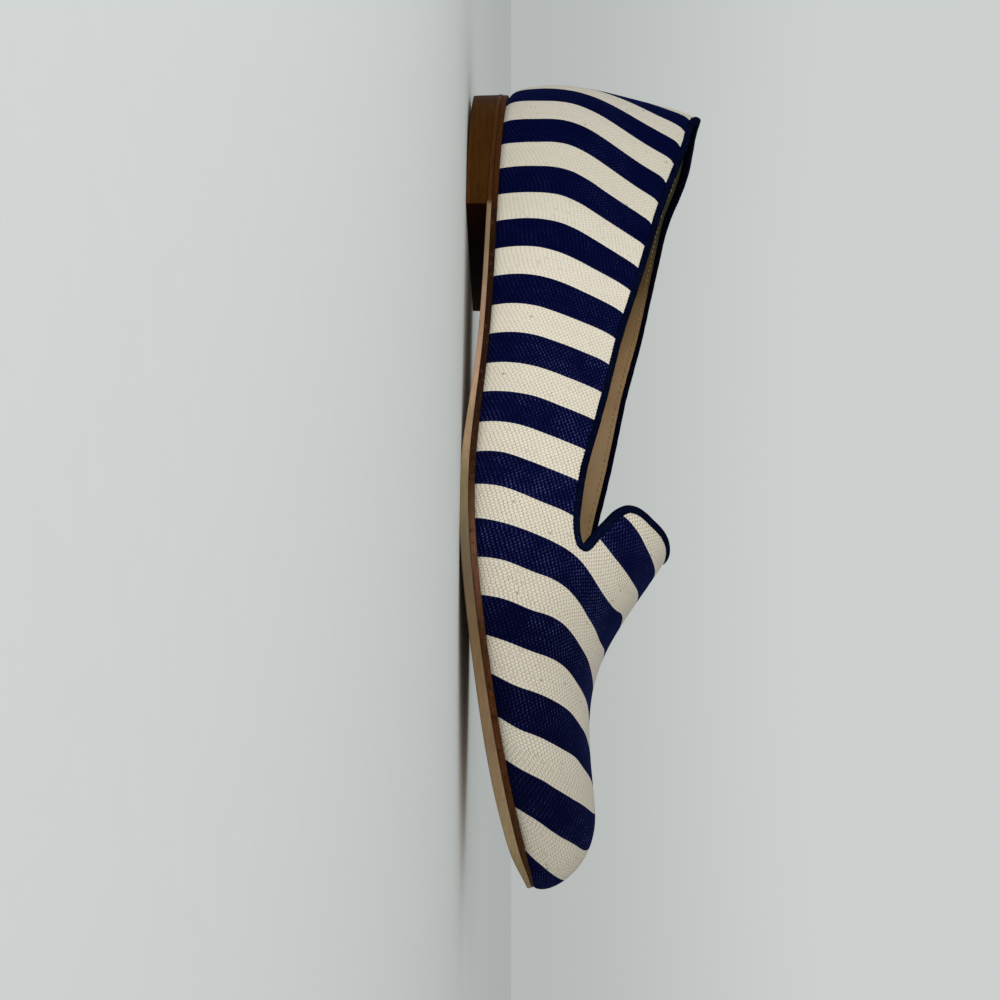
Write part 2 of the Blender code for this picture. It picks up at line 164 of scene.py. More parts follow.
# Thickness of the outsole.
#  along, thickness
OUTSOLE = ((0, 1.2), (60, 1.2), (100, 1.25), (120, 1.35), (150, 2.15), (175, 2.35),
           (210, 2.5), (245, 2.6), (256, 1.9), (262, 1.0))
INSOLE_THICKNESS, INSOLE_INSET = 2.5, 2.3

# The heel's front face crosses the shoe from here on the outer side to there on the inner.
BREAST_OUTER, BREAST_INNER = 60.2, 62.4
TOP_PIECE_THICKNESS = 3.9
HEEL_HEIGHT = 9.0
HEEL_EDGE = 1.0
HEEL_TAPER = 0.2

# The stripes of the cloth: each is STRIPE wide, navy and cream by turns, and number 0 is the
# first navy one that starts at the sole's outer edge.
STRIPE = 9.935
#  number, distance along at the feather line
STRIPES = ((-2, -11.9), (0, 7.2), (4, 46.4), (8, 85.6), (12, 125.3), (14, 144.5), (16, 164.9),
           (18, 186.4), (20, 207.1), (22, 229), (23, 240.5), (24, 252.2))
# How far a stripe has moved to the toe where it has climbed to a share of the girth.
SHARES = (0.0, 0.1, 0.2, 0.3, 0.4, 0.5, 0.6, 0.7, 0.85, 1.0)
#  along, shift at each share
SHIFTS = (
    (-10, 0, 6.5, 9.5, 12.0, 15.5, 20.0, 22.0, 23.0, 24.0, 24.0),
    (20, 0, 2.75, 3.25, 6.5, 11.75, 16.75, 21.0, 23.5, 25.0, 25.5),
    (50, 0, 0.75, 1.75, 6.5, 11.75, 17.0, 20.5, 23.0, 25.0, 25.5),
    (90, 0, 0.5, 2.75, 5.5, 8.5, 13.0, 18.0, 22.5, 26.5, 27.5),
    (130, 0, 1.0, 3.0, 5.5, 8.0, 11.5, 15.0, 21.5, 27.0, 29.0),
    (150, 0, 1.5, 4.5, 7.0, 10.0, 15.0, 19.0, 22.5, 25.0, 25.5),
    (165, 0, 2.0, 4.5, 7.0, 10.5, 15.5, 19.0, 20.5, 20.5, 22.0),
    (180, 0, 1.5, 4.0, 5.5, 8.5, 12.5, 15.5, 18.0, 19.5, 21.0),
    (200, 0, 2.5, 4.25, 5.5, 7.0, 9.5, 12.0, 14.5, 20.0, 21.5),
    (225, 0, 2.75, 4.75, 7.25, 9.75, 12.5, 16.5, 21.5, 31.0, 40.0),
    (240, 0, 2.25, 5.5, 9.25, 13.25, 18.5, 22.0, 28.0, 38.0, 46.0),
    (250, 0, 3.25, 7.5, 11.25, 16.0, 23.0, 26.5, 31.0, 39.0, 47.0),
)

SECTION_SAMPLES = 241
EDGE_SAMPLES = 700
# About how long a section line is from the feather line to the ridge.
GIRTH = 82.0


# ---------------------------------------------------------------- the last's own surface

def curve_through(rows, column):
    """A natural cubic spline through one column of a table over its first column."""
    x = np.array([row[0] for row in rows], float)
    y = np.array([row[column] for row in rows], float)
    steps = np.diff(x)
    count = len(x)
    matrix = np.eye(count)
    right = np.zeros(count)
    for i in range(1, count - 1):
        matrix[i, i - 1:i + 2] = steps[i - 1], 2 * (steps[i - 1] + steps[i]), steps[i]
        right[i] = 6 * ((y[i + 1] - y[i]) / steps[i] - (y[i] - y[i - 1]) / steps[i - 1])
    bend = np.linalg.solve(matrix, right)

    def value(at):
        at = np.asarray(at, float)
        i = np.clip(np.searchsorted(x, at) - 1, 0, count - 2)
        t = at - x[i]
        h = steps[i]
        slope = (y[i + 1] - y[i]) / h - h * (2 * bend[i] + bend[i + 1]) / 6
        return y[i] + t * slope + t ** 2 * bend[i] / 2 + t ** 3 * (bend[i + 1] - bend[i]) / (6 * h)

    return value


def station(along):
    """The angle of a station: 0 at the back of the heel, pi at the tip of the toe."""
    return np.arccos(np.clip(1 - 2 * np.asarray(along, float) / LENGTH, -1, 1))


def along_of(angle):
    return LENGTH / 2 * (1 - np.cos(angle))


FULLNESS = [(0.0, HEEL_FULLNESS)]
FULLNESS += [(float(station(along)), half / math.sin(station(along))) for along, _, half in PLAN]
FULLNESS += [(math.pi, TOE_FULLNESS)]
fullness = curve_through(FULLNESS, 1)
centre_line = curve_through(((0, 0.0),) + PLAN + ((LENGTH, TOE_CENTRE),), 1)
feather_height = curve_through(FEATHER, 1)
ridge_height = curve_through(RIDGE, 1)
plan_power, height_power, belly, belly_height, ridge_shift = (
    curve_through(SECTIONS, column) for column in range(1, 6))
lean = curve_through(LEAN, 1)
outsole_thickness = curve_through(OUTSOLE, 1)


def feather_plan(angle, side, grow=0.0):
    """The feather line in plan, moved out by grow square to itself."""
    step = 1e-4

    def point(at):
        along = along_of(at)
        return along, centre_line(along) + side * fullness(at) * np.sin(at)

    x, y = point(angle)
    x_next, y_next = point(angle + step)
    x_back, y_back = point(angle - step)
    dx, dy = x_next - x_back, y_next - y_back
    run = np.hypot(dx, dy)
    return x - side * grow * dy / run, y + side * grow * dx / run


def spine_foot(along):
    """Where the section line of a station starts on the centre of the shoe."""

    def blend(distance, axis, length):
        t = np.clip(distance / length, 0, 1)
        return (axis * (1 - 3 * t ** 2 + 2 * t ** 3) + length * (3 * t ** 2 - 2 * t ** 3)
                + FAN * length * (t ** 3 - 2 * t ** 2 + t) + length * (t ** 3 - t ** 2))

    from_heel = blend(along, HEEL_AXIS, HEEL_BLEND)
    from_toe = LENGTH - blend(LENGTH - along, TOE_AXIS, TOE_BLEND)
    return np.where(along < HEEL_BLEND, from_heel,
                    np.where(along > LENGTH - TOE_BLEND, from_toe, along))


def feather_at(along, across=0.0):
    """Height of the feather plane; across runs from 0 at the centre to 1 at the inner edge."""
    lift = np.cos(np.clip((along - ARCH_ALONG) / ARCH_REACH, -1, 1) * math.pi / 2) ** 2
    return feather_height(along) + ARCH_LIFT * lift * np.clip(across, 0, 1) ** 2


def back_tuck(along):
    """How far the foot of the shoe draws in round the back of the heel."""
    return BACK_TUCK * np.exp(-(along / BACK_REACH) ** 2)


def near_tip(along):
    """1 at the tip of the toe, falling to 0 behind it."""
    return np.exp(-((LENGTH - along) / TIP_REACH) ** 2)


def sole_edge(stand):
    """How far a layer's edge stands out from the feather line, as a function of along."""
    return lambda along: stand - back_tuck(along) - TIP_TUCK * near_tip(along)


def sections(angle, side):
    """Outside of the upper at each station, from the feather line up to the ridge."""
    angle = np.atleast_1d(angle)[:, None]
    rise = np.linspace(0, math.pi / 2, SECTION_SAMPLES)[None, :]
    along = along_of(angle)
    edge_x, edge_y = feather_plan(angle, side)
    foot_x = spine_foot(along)
    foot_y = centre_line(foot_x) + ridge_shift(foot_x)
    out_x, out_y = edge_x - foot_x, edge_y - foot_y
    reach = np.hypot(out_x, out_y)
    out = np.cos(rise).clip(0) ** (2 / plan_power(along))
    up = np.sin(rise) ** (2 / height_power(along))
    base = feather_at(along, max(side, 0))
    x = foot_x + out * out_x
    z = base + (ridge_height(x) - base) * up
    level = (z - base) / belly_height(along)
    leaning = np.clip((z - base - LEAN_START) / LEAN_HEIGHT, 0, 1)
    push = belly(along) * level * np.exp(1 - level)
    push = push - np.clip(lean(along), 0, None) * leaning ** 2 * (3 - 2 * leaning)
    curling = np.clip((z - base - CURL_START) / CURL_HEIGHT, 0, 1.5) ** 2
    push = push - CURL * curling * np.exp(-(along / CURL_REACH) ** 2)
    push = push * (1 - (1 - out) ** 3)
    push = push - back_tuck(along) * np.exp((base - z) / BACK_FADE)
    x = x + push * out_x / reach
    y = foot_y + out * out_y + push * out_y / reach
    return np.stack(np.broadcast_arrays(x, y, z + GAP), -1)


def unit(vectors):
    return vectors / np.linalg.norm(vectors, axis=-1, keepdims=True)


def run_along(lines):
    """Running length along each row of points."""
    lengths = np.linalg.norm(np.diff(lines, axis=-2), axis=-1)
    return np.concatenate([np.zeros(lengths.shape[:-1] + (1,)), np.cumsum(lengths, axis=-1)], -1)


def skin(angle, side, share):
    """Points of the outside of the upper; share runs along the girth from feather to ridge."""
    angle, share = np.broadcast_arrays(np.atleast_1d(angle), share)
    stations, which = np.unique(angle.ravel(), return_inverse=True)
    which = which.ravel()
    lines = sections(stations, side)
    girth = run_along(lines)
    target = share.ravel() * girth[which, -1]
    i = np.array([np.searchsorted(girth[w], value) for w, value in zip(which, target)])
    i = i.clip(1, SECTION_SAMPLES - 1)
    t = (target - girth[which, i - 1]) / (girth[which, i] - girth[which, i - 1])
    points = lines[which, i - 1] + t[:, None] * (lines[which, i] - lines[which, i - 1])
    return points.reshape(angle.shape + (3,))


def share_at_height(angle, side, height):
    """The share of the girth at which a section reaches a height over the floor."""
    line = sections(angle, side)[0]
    girth = run_along(line)
    return float(np.interp(height, line[:, 2], girth) / girth[-1])


def opening_edge(side):
    """The edge of opening, notch and tab on one side, as station angles and girth shares."""
    column = 1 if side == OUTER else 2
    rows = [(row[0], share_at_height(station(row[0]), side, row[column])) for row in TOPLINE]
    notch = rows[-1][1]
    rows += [(along, notch + part * (1 - notch)) for along, part in TAB]
    before = (-rows[1][0], rows[1][1])
    after = (rows[-2][0], 2 - rows[-2][1])
    knots = np.array([before] + rows + [after])
    run = run_along(knots * (1, GIRTH))
    table = np.column_stack([run, knots])
    along, share = curve_through(table, 1), curve_through(table, 2)
    at = np.linspace(run[1], run[-2], EDGE_SAMPLES)
    return station(along(at).clip(0)), share(at).clip(0, 1)


def skin_slopes(angle, side, share):
    """Change of the skin's points by angle and by share."""
    step = 1e-3
    high, low = np.minimum(share + step, 1), share - step
    by_angle = (skin(angle + step, side, share) - skin(angle - step, side, share)) / (2 * step)
    by_share = (skin(angle, side, high) - skin(angle, side, low)) / (high - low)[..., None]
    return by_angle, by_share


def inset(angle, share, side, width):
    """Moves an edge into the material by a width measured on the skin, square to the edge."""
    by_angle, by_share = skin_slopes(angle, side, share)
    along_edge = np.gradient(skin(angle, side, share), axis=0)
    into = -width * unit(np.cross(np.cross(by_angle, by_share), along_edge))
    moves = [np.linalg.lstsq(np.stack(slopes, 1), move, rcond=None)[0]
             for *slopes, move in zip(by_angle, by_share, into)]
    angle, share = angle + np.array(moves)[:, 0], share + np.array(moves)[:, 1]
    angle[0], share[-1] = 0, 1
    return angle, share


def outward(angle, side, share):
    """Unit normals of the skin, pointing out of the shoe."""
    return unit(-side * np.cross(*skin_slopes(angle, side, share)))


# ---------------------------------------------------------------- where the cloth's threads lie

def mirrored_basis(at):
    """For each share in at, the weight of every column of SHIFTS, level at the ridge."""
    knots = np.array(SHARES + (2 - SHARES[-2],))
    unit = np.vstack([np.eye(len(SHARES)), np.eye(len(SHARES))[-2]])
    table = np.column_stack([knots, unit])
    return np.stack([curve_through(table, column + 1)(at) for column in range(len(SHARES))], -1)


def stripe_shift(base, share):
    """How far the stripe that starts at base has moved to the toe at a share of the girth."""
    by_base = np.stack([curve_through(SHIFTS, column + 1)(base) for column in range(len(SHARES))], -1)
    return (by_base * mirrored_basis(share)).sum(axis=-1)


def stripe_base(along, share):
    """Where on the feather line the stripe through a point of the skin starts."""
    base = np.array(along, float)
    for _ in range(40):
        base = along - stripe_shift(base, share)
    return base


stripe_number = curve_through([(along, number) for number, along in STRIPES], 1)


def bilinear(table, row, column):
    """The table's value between its rows and columns."""
    i = np.clip(row.astype(int), 0, table.shape[0] - 2)
    j = np.clip(column.astype(int), 0, table.shape[1] - 2)
    s, t = (row - i)[..., None], (column - j)[..., None]
    return ((1 - s) * ((1 - t) * table[i, j] + t * table[i, j + 1])
            + s * ((1 - t) * table[i + 1, j] + t * table[i + 1, j + 1]))


# Where the edge was turned in under the ribbon it drew the stripes forward: how far and how
# deep below the ribbon, each by the distance along.
RIM_PULL = (((0, 45, 70, 150), (2.2, 2.0, 0.4, 0.0)), ((0, 45, 70, 150), (1.5, 1.4, 0.7, 0.6)))


class Cloth:
    """Thread coordinates of one side: millimetres from the centre line along the stripes,
    millimetres across the stripes, and millimetres up from the sole."""

    ANGLES, ROWS, BASES = 240, 120, 220
    FIRST_BASE, LAST_BASE = -40.0, 262.0

    def __init__(self, side):
        angles = np.linspace(0, math.pi, self.ANGLES)
        shares = np.linspace(0, 1, self.ROWS)
        surface = skin(angles[:, None], side, shares[None, :])
        self.girth = run_along(surface)[:, -1]
        self.bases = np.linspace(self.FIRST_BASE, self.LAST_BASE, self.BASES)
        grid_base, grid_share = np.meshgrid(self.bases, shares, indexing="ij")
        along = grid_base + stripe_shift(grid_base, grid_share)
        row = station(along.clip(0, LENGTH)) / math.pi * (self.ANGLES - 1)
        line = bilinear(surface, row, grid_share * (self.ROWS - 1))
        run = run_along(line)
        self.to_centre = run[:, -1:] - run
        edge, rim_share = opening_edge(side)
        throat = np.argmax(edge)
        self.rim = (np.append(along_of(edge[:throat]), along_of(edge[throat]) + 0.1),
                    np.append(rim_share[:throat], 2.0))

    def at(self, angle, share):
        angle, share = np.broadcast_arrays(angle, share)
        along = along_of(angle)
        girth = np.interp(angle, np.linspace(0, math.pi, self.ANGLES), self.girth)
        down = (np.interp(along, *self.rim) - share) * girth - BINDING_WIDTH
        pull, reach = (np.interp(along, *column) for column in RIM_PULL)
        base = stripe_base(along - pull * np.exp(-down.clip(0) / reach) * (down > -3), share)
        row = (base - self.FIRST_BASE) / (self.LAST_BASE - self.FIRST_BASE) * (self.BASES - 1)
        column = share * (self.ROWS - 1)
        u = bilinear(self.to_centre[..., None], row.clip(0), column)[..., 0]
        v = stripe_number(base) * STRIPE
        return np.stack([u, v, share * girth], -1)


cloth = {side: Cloth(side) for side in (OUTER, INNER)}


# ---------------------------------------------------------------- meshes

RIM_STATIONS = 45


def frame_shift():
    """What moves a point of the shoe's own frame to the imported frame, in millimetres."""
    back = feather_plan(np.array([0.0]), OUTER, MIDSOLE_EDGE - BACK_TUCK)[0][0]
    angles = np.linspace(0, math.pi, RIM_STATIONS)
    stand = sole_edge(MIDSOLE_EDGE)(along_of(angles))
    outermost = min(feather_plan(angles, side, stand)[1].min() for side in (OUTER, INNER))
    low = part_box("midsole")[0]
    return np.array([low[0] / MM - back, low[1] / MM - outermost, 0.0])


TO_FRAME = frame_shift()


class Sheet:
    """Collects grids of points that make up one mesh, with the cloth coordinates of each."""

    def __init__(self):
        self.points, self.threads, self.faces = [], [], []
        self.count = 0

    def grid(self, points, threads=None, wrap=False):
        """Adds the quads between a grid of points, rows by columns."""
        at = np.arange(points[..., 0].size).reshape(points.shape[:2]) + self.count
        self.count += at.size
        self.points.append(points.reshape(-1, 3))
        self.threads.append(np.zeros((at.size, 3)) if threads is None else threads.reshape(-1, 3))
        if wrap:
            at = np.column_stack([at, at[:, :1]])
        quads = np.stack([at[:-1, :-1], at[:-1, 1:], at[1:, 1:], at[1:, :-1]], -1)
        self.faces += quads.reshape(-1, 4).tolist()

    def make(self, name, weld=0.01, recalc=True, fill=False):
        """Makes the mesh, welding points closer than weld millimetres. fill closes its holes."""
        points = (np.concatenate(self.points) + TO_FRAME) * MM
        mesh = bpy.data.meshes.new(name)
        mesh.from_pydata(points.tolist(), [], self.faces)
        layer = mesh.attributes.new("threads", "FLOAT_VECTOR", "POINT")
        layer.data.foreach_set("vector", np.concatenate(self.threads).ravel())
        work = bmesh.new()
        work.from_mesh(mesh)
        bmesh.ops.remove_doubles(work, verts=work.verts, dist=weld * MM)
        bmesh.ops.dissolve_degenerate(work, edges=work.edges, dist=weld * MM / 5)
        if fill:
            rims = [edge for edge in work.edges if edge.is_boundary]
            bmesh.ops.holes_fill(work, edges=rims, sides=0)
        if recalc:
            bmesh.ops.recalc_face_normals(work, faces=work.faces)
        work.to_mesh(mesh)
        work.free()
        piece = bpy.data.objects.new(name, mesh)
        bpy.context.scene.collection.objects.link(piece)
        return piece


def finish_piece(piece, material, slot, *nodes, sharp=40):
    """Gives a piece its material and its place in the frame."""
    piece.data.materials.clear()
    piece.data.materials.append(material)
    piece.data.shade_smooth()
    piece.data.set_sharp_from_angle(angle=math.radians(sharp))
    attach(piece, "root")
    if nodes:
        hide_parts(*nodes)
    return piece


def face_out(piece):
    """Turns an open skin's faces out, judged where it lies farthest to the outer side."""
    outermost = min(piece.data.polygons, key=lambda face: face.center.y)
    if outermost.normal.y > 0:
        piece.data.flip_normals()


def per_point(piece, name):
    """One vector for each point of a mesh: co, its place in metres, or its normal."""
    values = np.empty(len(piece.data.vertices) * 3)
    piece.data.vertices.foreach_get(name, values)
    return values.reshape(-1, 3)


def push(piece, distance):
    """Moves every point of a mesh out along its normal by a distance in millimetres."""
    move = per_point(piece, "normal") * np.atleast_1d(distance)[:, None] * MM
    piece.data.vertices.foreach_set("co", (per_point(piece, "co") + move).ravel())
    piece.data.update()


def shell(piece, thickness):
    """Gives an open skin a thickness in millimetres, inwards from where it lies."""
    wall = piece.modifiers.new("wall", "SOLIDIFY")
    wall.thickness = thickness * MM
    wall.offset = -1
    wall.use_even_offset = False
    graph = bpy.context.evaluated_depsgraph_get()
    solid = bpy.data.meshes.new_from_object(piece.evaluated_get(graph))
    piece.modifiers.clear()
    skin_mesh = piece.data
    piece.data = solid
    bpy.data.meshes.remove(skin_mesh)


# ---------------------------------------------------------------- the upper

# Distances from the seam at the back of the heel where the quads beside it begin.
SEAM_STEPS = (0.0, 0.25, 0.5, 0.8, 1.2, 1.7, 2.4, 3.2, 4.2)
# Millimetres to be split into quads: along the quarters, along the forefoot, up the walls,
# from the notch up to the ridge, and across the tab.
QUARTER_RUN, FOREFOOT_RUN, WALL_RUN, TAB_RISE, TAB_RUN = 150, 105, 62, 46, 14
# Powers that crowd the rows of quads towards the edge of the opening, from below and above.
LOW_POWER, HIGH_POWER = 1.2, 1.25
# How far the canvas turns in below its foot.
TURN_IN = 0.3
CANVAS_QUAD, LINING_QUAD = 1.3, 2.2
# Room left between canvas and lining.
LINING_GAP = 0.06
# The groove that this seam draws into the canvas.
BACK_SEAM_WIDTH, BACK_SEAM_DEPTH, BACK_SEAM_REACH = 0.55, 0.42, 12
# Gentle hills and hollows in the canvas.
#  size, height
CANVAS_HILLS = ((17, 0.13), (6, 0.05))


def upper_skin(fineness, tuck, drop):
    """The skin of quarters, vamp and tab as one open sheet. fineness is the size of its quads,
    tuck how far it reaches into the binding, and drop how far it turns down below its foot."""
    sheet = Sheet()
    edges = [inset(*opening_edge(side), side, BINDING_WIDTH - tuck) for side in (OUTER, INNER)]
    notch_angle = min(angle.max() for angle, _ in edges)
    ridge_angle = np.mean([angle[-1] for angle, _ in edges])
    toe_split = np.mean([share[np.argmax(angle)] for angle, share in edges])
    quarter_stations, vamp_stations, wall_rows, tab_rows, tab_columns = (
        int(run / fineness) for run in (QUARTER_RUN, FOREFOOT_RUN, WALL_RUN, TAB_RISE, TAB_RUN))
    seam = np.array(SEAM_STEPS) / HEEL_FULLNESS
    quarter = np.concatenate([seam, np.linspace(seam[-1], notch_angle, quarter_stations)[1:]])
    # The last six steps before the notch become eleven.
    quarter = np.concatenate([quarter[:-6], np.linspace(quarter[-7], notch_angle, 12)[1:]])
    forefoot = notch_angle + (math.pi - notch_angle) * np.linspace(0, 1, vamp_stations)
    low_rows = 1 - (1 - np.linspace(0, 1, wall_rows + 1)) ** LOW_POWER
    high_rows = np.linspace(0, 1, tab_rows + 1) ** HIGH_POWER

    def add(angle, side, share, foot=False):
        angle, share = np.broadcast_arrays(angle, share)
        points, threads = skin(angle, side, share), cloth[side].at(angle, share)
        if foot and drop:
            lowest = points[:, :1] - (0, 0, drop)
            foot_x = spine_foot(along_of(angle[:, :1]))
            centre = np.stack([foot_x, centre_line(foot_x), lowest[..., 2]], -1)
            points = np.concatenate([lowest + TURN_IN * unit(centre - lowest), points], axis=1)
            threads = np.concatenate([threads[:, :1] + (drop, 0, -drop), threads], axis=1)
        sheet.grid(points, threads)

    for side, (angle, share) in zip((OUTER, INNER), edges):
        notch = int(np.argmax(angle))
        angle = np.minimum(angle, notch_angle)
        angle[-1] = ridge_angle
        top = np.interp(quarter, angle[:notch + 1], share[:notch + 1])
        top[-1] = share[notch]
        add(quarter[:, None], side, top[:, None] * low_rows, foot=True)

        split = np.linspace(share[notch], toe_split, vamp_stations)[:, None]
        rows = np.hstack([split * low_rows, split + (1 - split) * high_rows[1:]])
        add(forefoot[:, None], side, rows, foot=True)

        high = share[notch] + (1 - share[notch]) * high_rows
        start = np.interp(high, share[notch:], angle[notch:])
        across = start + (notch_angle - start) * np.linspace(0, 1, tab_columns + 1)[:, None]
        add(across, side, high[None, :])
    return sheet


def make_canvas(material):
    piece = upper_skin(CANVAS_QUAD, TUCK, GAP + 0.05).make("upper_canvas")
    face_out(piece)
    points = per_point(piece, "co")
    hills = np.zeros(len(points))
    for size, height in CANVAS_HILLS:
        hills += [height * noise.noise(Vector(point) / (size * MM)) for point in points]
    own = points / MM - TO_FRAME
    seam = np.exp(-(own[:, 1] / BACK_SEAM_WIDTH) ** 2) * (own[:, 0] < BACK_SEAM_REACH)
    push(piece, hills - BACK_SEAM_DEPTH * seam)
    shell(piece, CANVAS_THICKNESS)
    return finish_piece(piece, material, "canvas", "upper")


def make_lining(material):
    piece = upper_skin(LINING_QUAD, LINING_TUCK, 0.0).make("upper_lining")
    face_out(piece)
    push(piece, -(CANVAS_THICKNESS + LINING_GAP))
    shell(piece, LINING_THICKNESS)
    return finish_piece(piece, material, "insole_leather")


# ---------------------------------------------------------------- binding and stitches

LOOP_STEPS = 1500
BINDING_SIDES = 22
BINDING_SQUARENESS = 2.7
RIB_PITCH = 1.15
# How much thicker the ribbon grows on its swells and on its ribs, how far its middle wanders,
# and how far the ribs reach out over its lower edge.
SWELL_GROWTH, RIB_GROWTH, WANDER, RIB_REACH = 0.035, 0.012, 0.1, 0.05
# The swells and the wandering are read off two circles through the noise, so that they join
# up round the loop: the circles' radius and heights.
NOISE_RADIUS, NOISE_HEIGHTS = 23, (3.1, 7.7)
# Length round the ribbon's cross section as its material counts it: 0 to half is outside.
RIBBON_GIRTH = 9.0

STITCH_PITCH, STITCH_LENGTH, STITCH_RADIUS = 2.1, 1.8, 0.23
# A stitch lies below the ribbon's edge, raised from the lining, with its ends dipping into it.
STITCH_INSET, STITCH_RAISE, STITCH_DIP = 1.15, 0.14, 0.36
# How steeply stitches slant, and how much slant, inset and size vary.
STITCH_SLANT, SLANT_SPREAD, INSET_SPREAD, STITCH_SIZES = 0.16, 0.1, 0.07, (0.8, 1.15)
STITCH_RINGS, STITCH_SIDES = 7, 6


def blur(values, times):
    for _ in range(times):
        values = (np.roll(values, 1, axis=0) + 2 * values + np.roll(values, -1, axis=0)) / 4
    return values


def opening_loop():
    """Points round the whole edge of the opening, evenly spaced, with directions into the
    material and out of the shoe."""
    halves = []
    for side in (OUTER, INNER):
        angle, share = opening_edge(side)
        halves.append((skin(angle, side, share), outward(angle, side, share)))
    point, normal = (np.concatenate([outer, inner[-2::-1]]) for outer, inner in zip(*halves))
    run = run_along(point)
    at = np.linspace(0, run[-1], LOOP_STEPS, endpoint=False)

    def spread(values):
        return np.stack([np.interp(at, run, column) for column in values.T], -1)

    point, normal = blur(spread(point), 4), blur(spread(normal), 30)
    tangent = unit(np.roll(point, -1, axis=0) - np.roll(point, 1, axis=0))
    normal = unit(normal - (normal * tangent).sum(axis=1)[:, None] * tangent)
    into = np.cross(normal, tangent)
    # On the outer quarter the material lies below the edge.
    if into[LOOP_STEPS // 8, 2] > 0:
        into = -into
    return point, tangent, normal, into, run[-1]


def inner_leg(along):
    return np.interp(along, *np.transpose(INNER_LEG))


def rounded(wave):
    """A sine or cosine squared up a little, for the ribbon's cross section."""
    return np.sign(wave) * np.abs(wave) ** (2 / BINDING_SQUARENESS)


def make_binding(material):
    """A ribbon folded round the edge, softly rounded and a little uneven."""
    point, _, normal, into, length = opening_loop()
    run = np.linspace(0, length, LOOP_STEPS, endpoint=False)
    turn = np.linspace(0, 2 * math.pi, BINDING_SIDES, endpoint=False)
    wide = rounded(np.cos(turn)) * BINDING_WIDTH / 2
    thick = rounded(np.sin(turn)) * BINDING_THICKNESS / 2
    round_loop = run / length * 2 * math.pi
    circle = np.column_stack([np.cos(round_loop), np.sin(round_loop)]) * NOISE_RADIUS
    swell = np.array([[noise.noise(Vector((x, y, height))) for height in NOISE_HEIGHTS]
                      for x, y in circle])
    rib = np.cos(round_loop * round(length / RIB_PITCH))
    grow = 1 + SWELL_GROWTH * swell[:, 0] + RIB_GROWTH * rib
    shift = BINDING_WIDTH / 2 + WANDER * swell[:, 1]
    wide = (shift[:, None] + wide[None, :] * grow[:, None]
            + RIB_REACH * (rib[:, None] * (wide > 0.6)))
    thick = (BINDING_THICKNESS - WALL) / 2 - BINDING_THICKNESS / 2 + thick[None, :] * grow[:, None]
    shorter = 1 - inner_leg(point[:, :1]) / BINDING_WIDTH
    wide = wide * (1 - shorter * (-2 * np.sin(turn)).clip(0, 1))
    rings = point[:, None] + wide[..., None] * into[:, None] + thick[..., None] * normal[:, None]
    girth = np.linspace(0, RIBBON_GIRTH, BINDING_SIDES)
    threads = np.stack(np.broadcast_arrays(run[:, None], girth[None, :], 0.0), -1)
    sheet = Sheet()
    sheet.grid(np.concatenate([rings, rings[:1]]), np.concatenate([threads, threads[-1:]]), wrap=True)
    piece = sheet.make("binding_tape", weld=0.002)
    return finish_piece(piece, material, "binding", "topline_binding", sharp=60)


def make_stitches(material):
    """The row of stitches that holds the binding, where it shows on the lining."""
    point, tangent, normal, into, length = opening_loop()
    stitches = int(length / STITCH_PITCH)
    rng = np.random.default_rng(7)
    sheet = Sheet()
    depth = -(CANVAS_THICKNESS + LINING_THICKNESS + LINING_GAP + STITCH_RAISE)
    rings = np.linspace(-1, 1, STITCH_RINGS)
    sides = np.linspace(0, 2 * math.pi, STITCH_SIDES, endpoint=False)
    for number in range(stitches):
        i = int((number + 0.5) / stitches * LOOP_STEPS)
        size = rng.uniform(*STITCH_SIZES)
        line = tangent[i] + rng.normal(STITCH_SLANT, SLANT_SPREAD) * into[i]
        down = inner_leg(point[i, 0]) + STITCH_INSET + rng.normal(0, INSET_SPREAD)
        start = point[i] + down * into[i] + depth * normal[i]
        radius = STITCH_RADIUS * np.sqrt((1 - rings ** 2).clip(0.02)) * size
        centre = (start + rings[:, None] * (STITCH_LENGTH / 2 * size) * line
                  + (STITCH_DIP * rings ** 2)[:, None] * normal[i])
        ring = (centre[:, None] + radius[:, None, None]
                * (np.cos(sides)[:, None] * into[i] + np.sin(sides)[:, None] * normal[i]))
        threads = np.stack(np.broadcast_arrays(rings[:, None], rng.choice((0.4, 0.75, 1.0)),
                                               np.zeros((1, STITCH_SIDES))), -1)
        sheet.grid(ring, threads, wrap=True)
    piece = sheet.make("lining_stitches", weld=0.002, fill=True)
    return finish_piece(piece, material, "binding", sharp=70)


# ---------------------------------------------------------------- sole and heel

# Room left between layers that are glued to each other.
SEAM = 0.03
LAYER_STATIONS, BREAST_STATIONS = 230, 130
CORNER_STEPS, BREAST_STEPS, HEEL_ROWS = 5, 30, 6
# The rings of a flat face: shares of the way out from the middle, and how far inside the
# edge the outermost of them and the first ring of a rounded edge lie.
FLAT_SCALES, HEEL_SCALES = (0, 0.3, 0.6, 0.8, 0.92, 1), (0, 0.35, 0.7, 0.9)
FLAT_INSET, RIM_INSET = 2.2, 1.2
HEEL_CENTRE = np.array([30.0, 0.0])
HEEL_HALF_WIDTH = 31
# Walking has worn the outer back corner of the top piece: by how much, how far forward and
# with what power, and where it starts and how far it spreads across the half width.
WEAR_HEIGHT, WEAR_REACH, WEAR_POWER = 2.0, 55.0, 1.3
WEAR_START, WEAR_SPREAD = 0.3, 1.1


def corner(radius):
    """Inset and drop of the points of a rounded edge, from the flat to the side."""
    turn = np.linspace(0, math.pi / 2, CORNER_STEPS)
    return [(radius * (1 - math.sin(t)), radius * (1 - math.cos(t))) for t in turn]


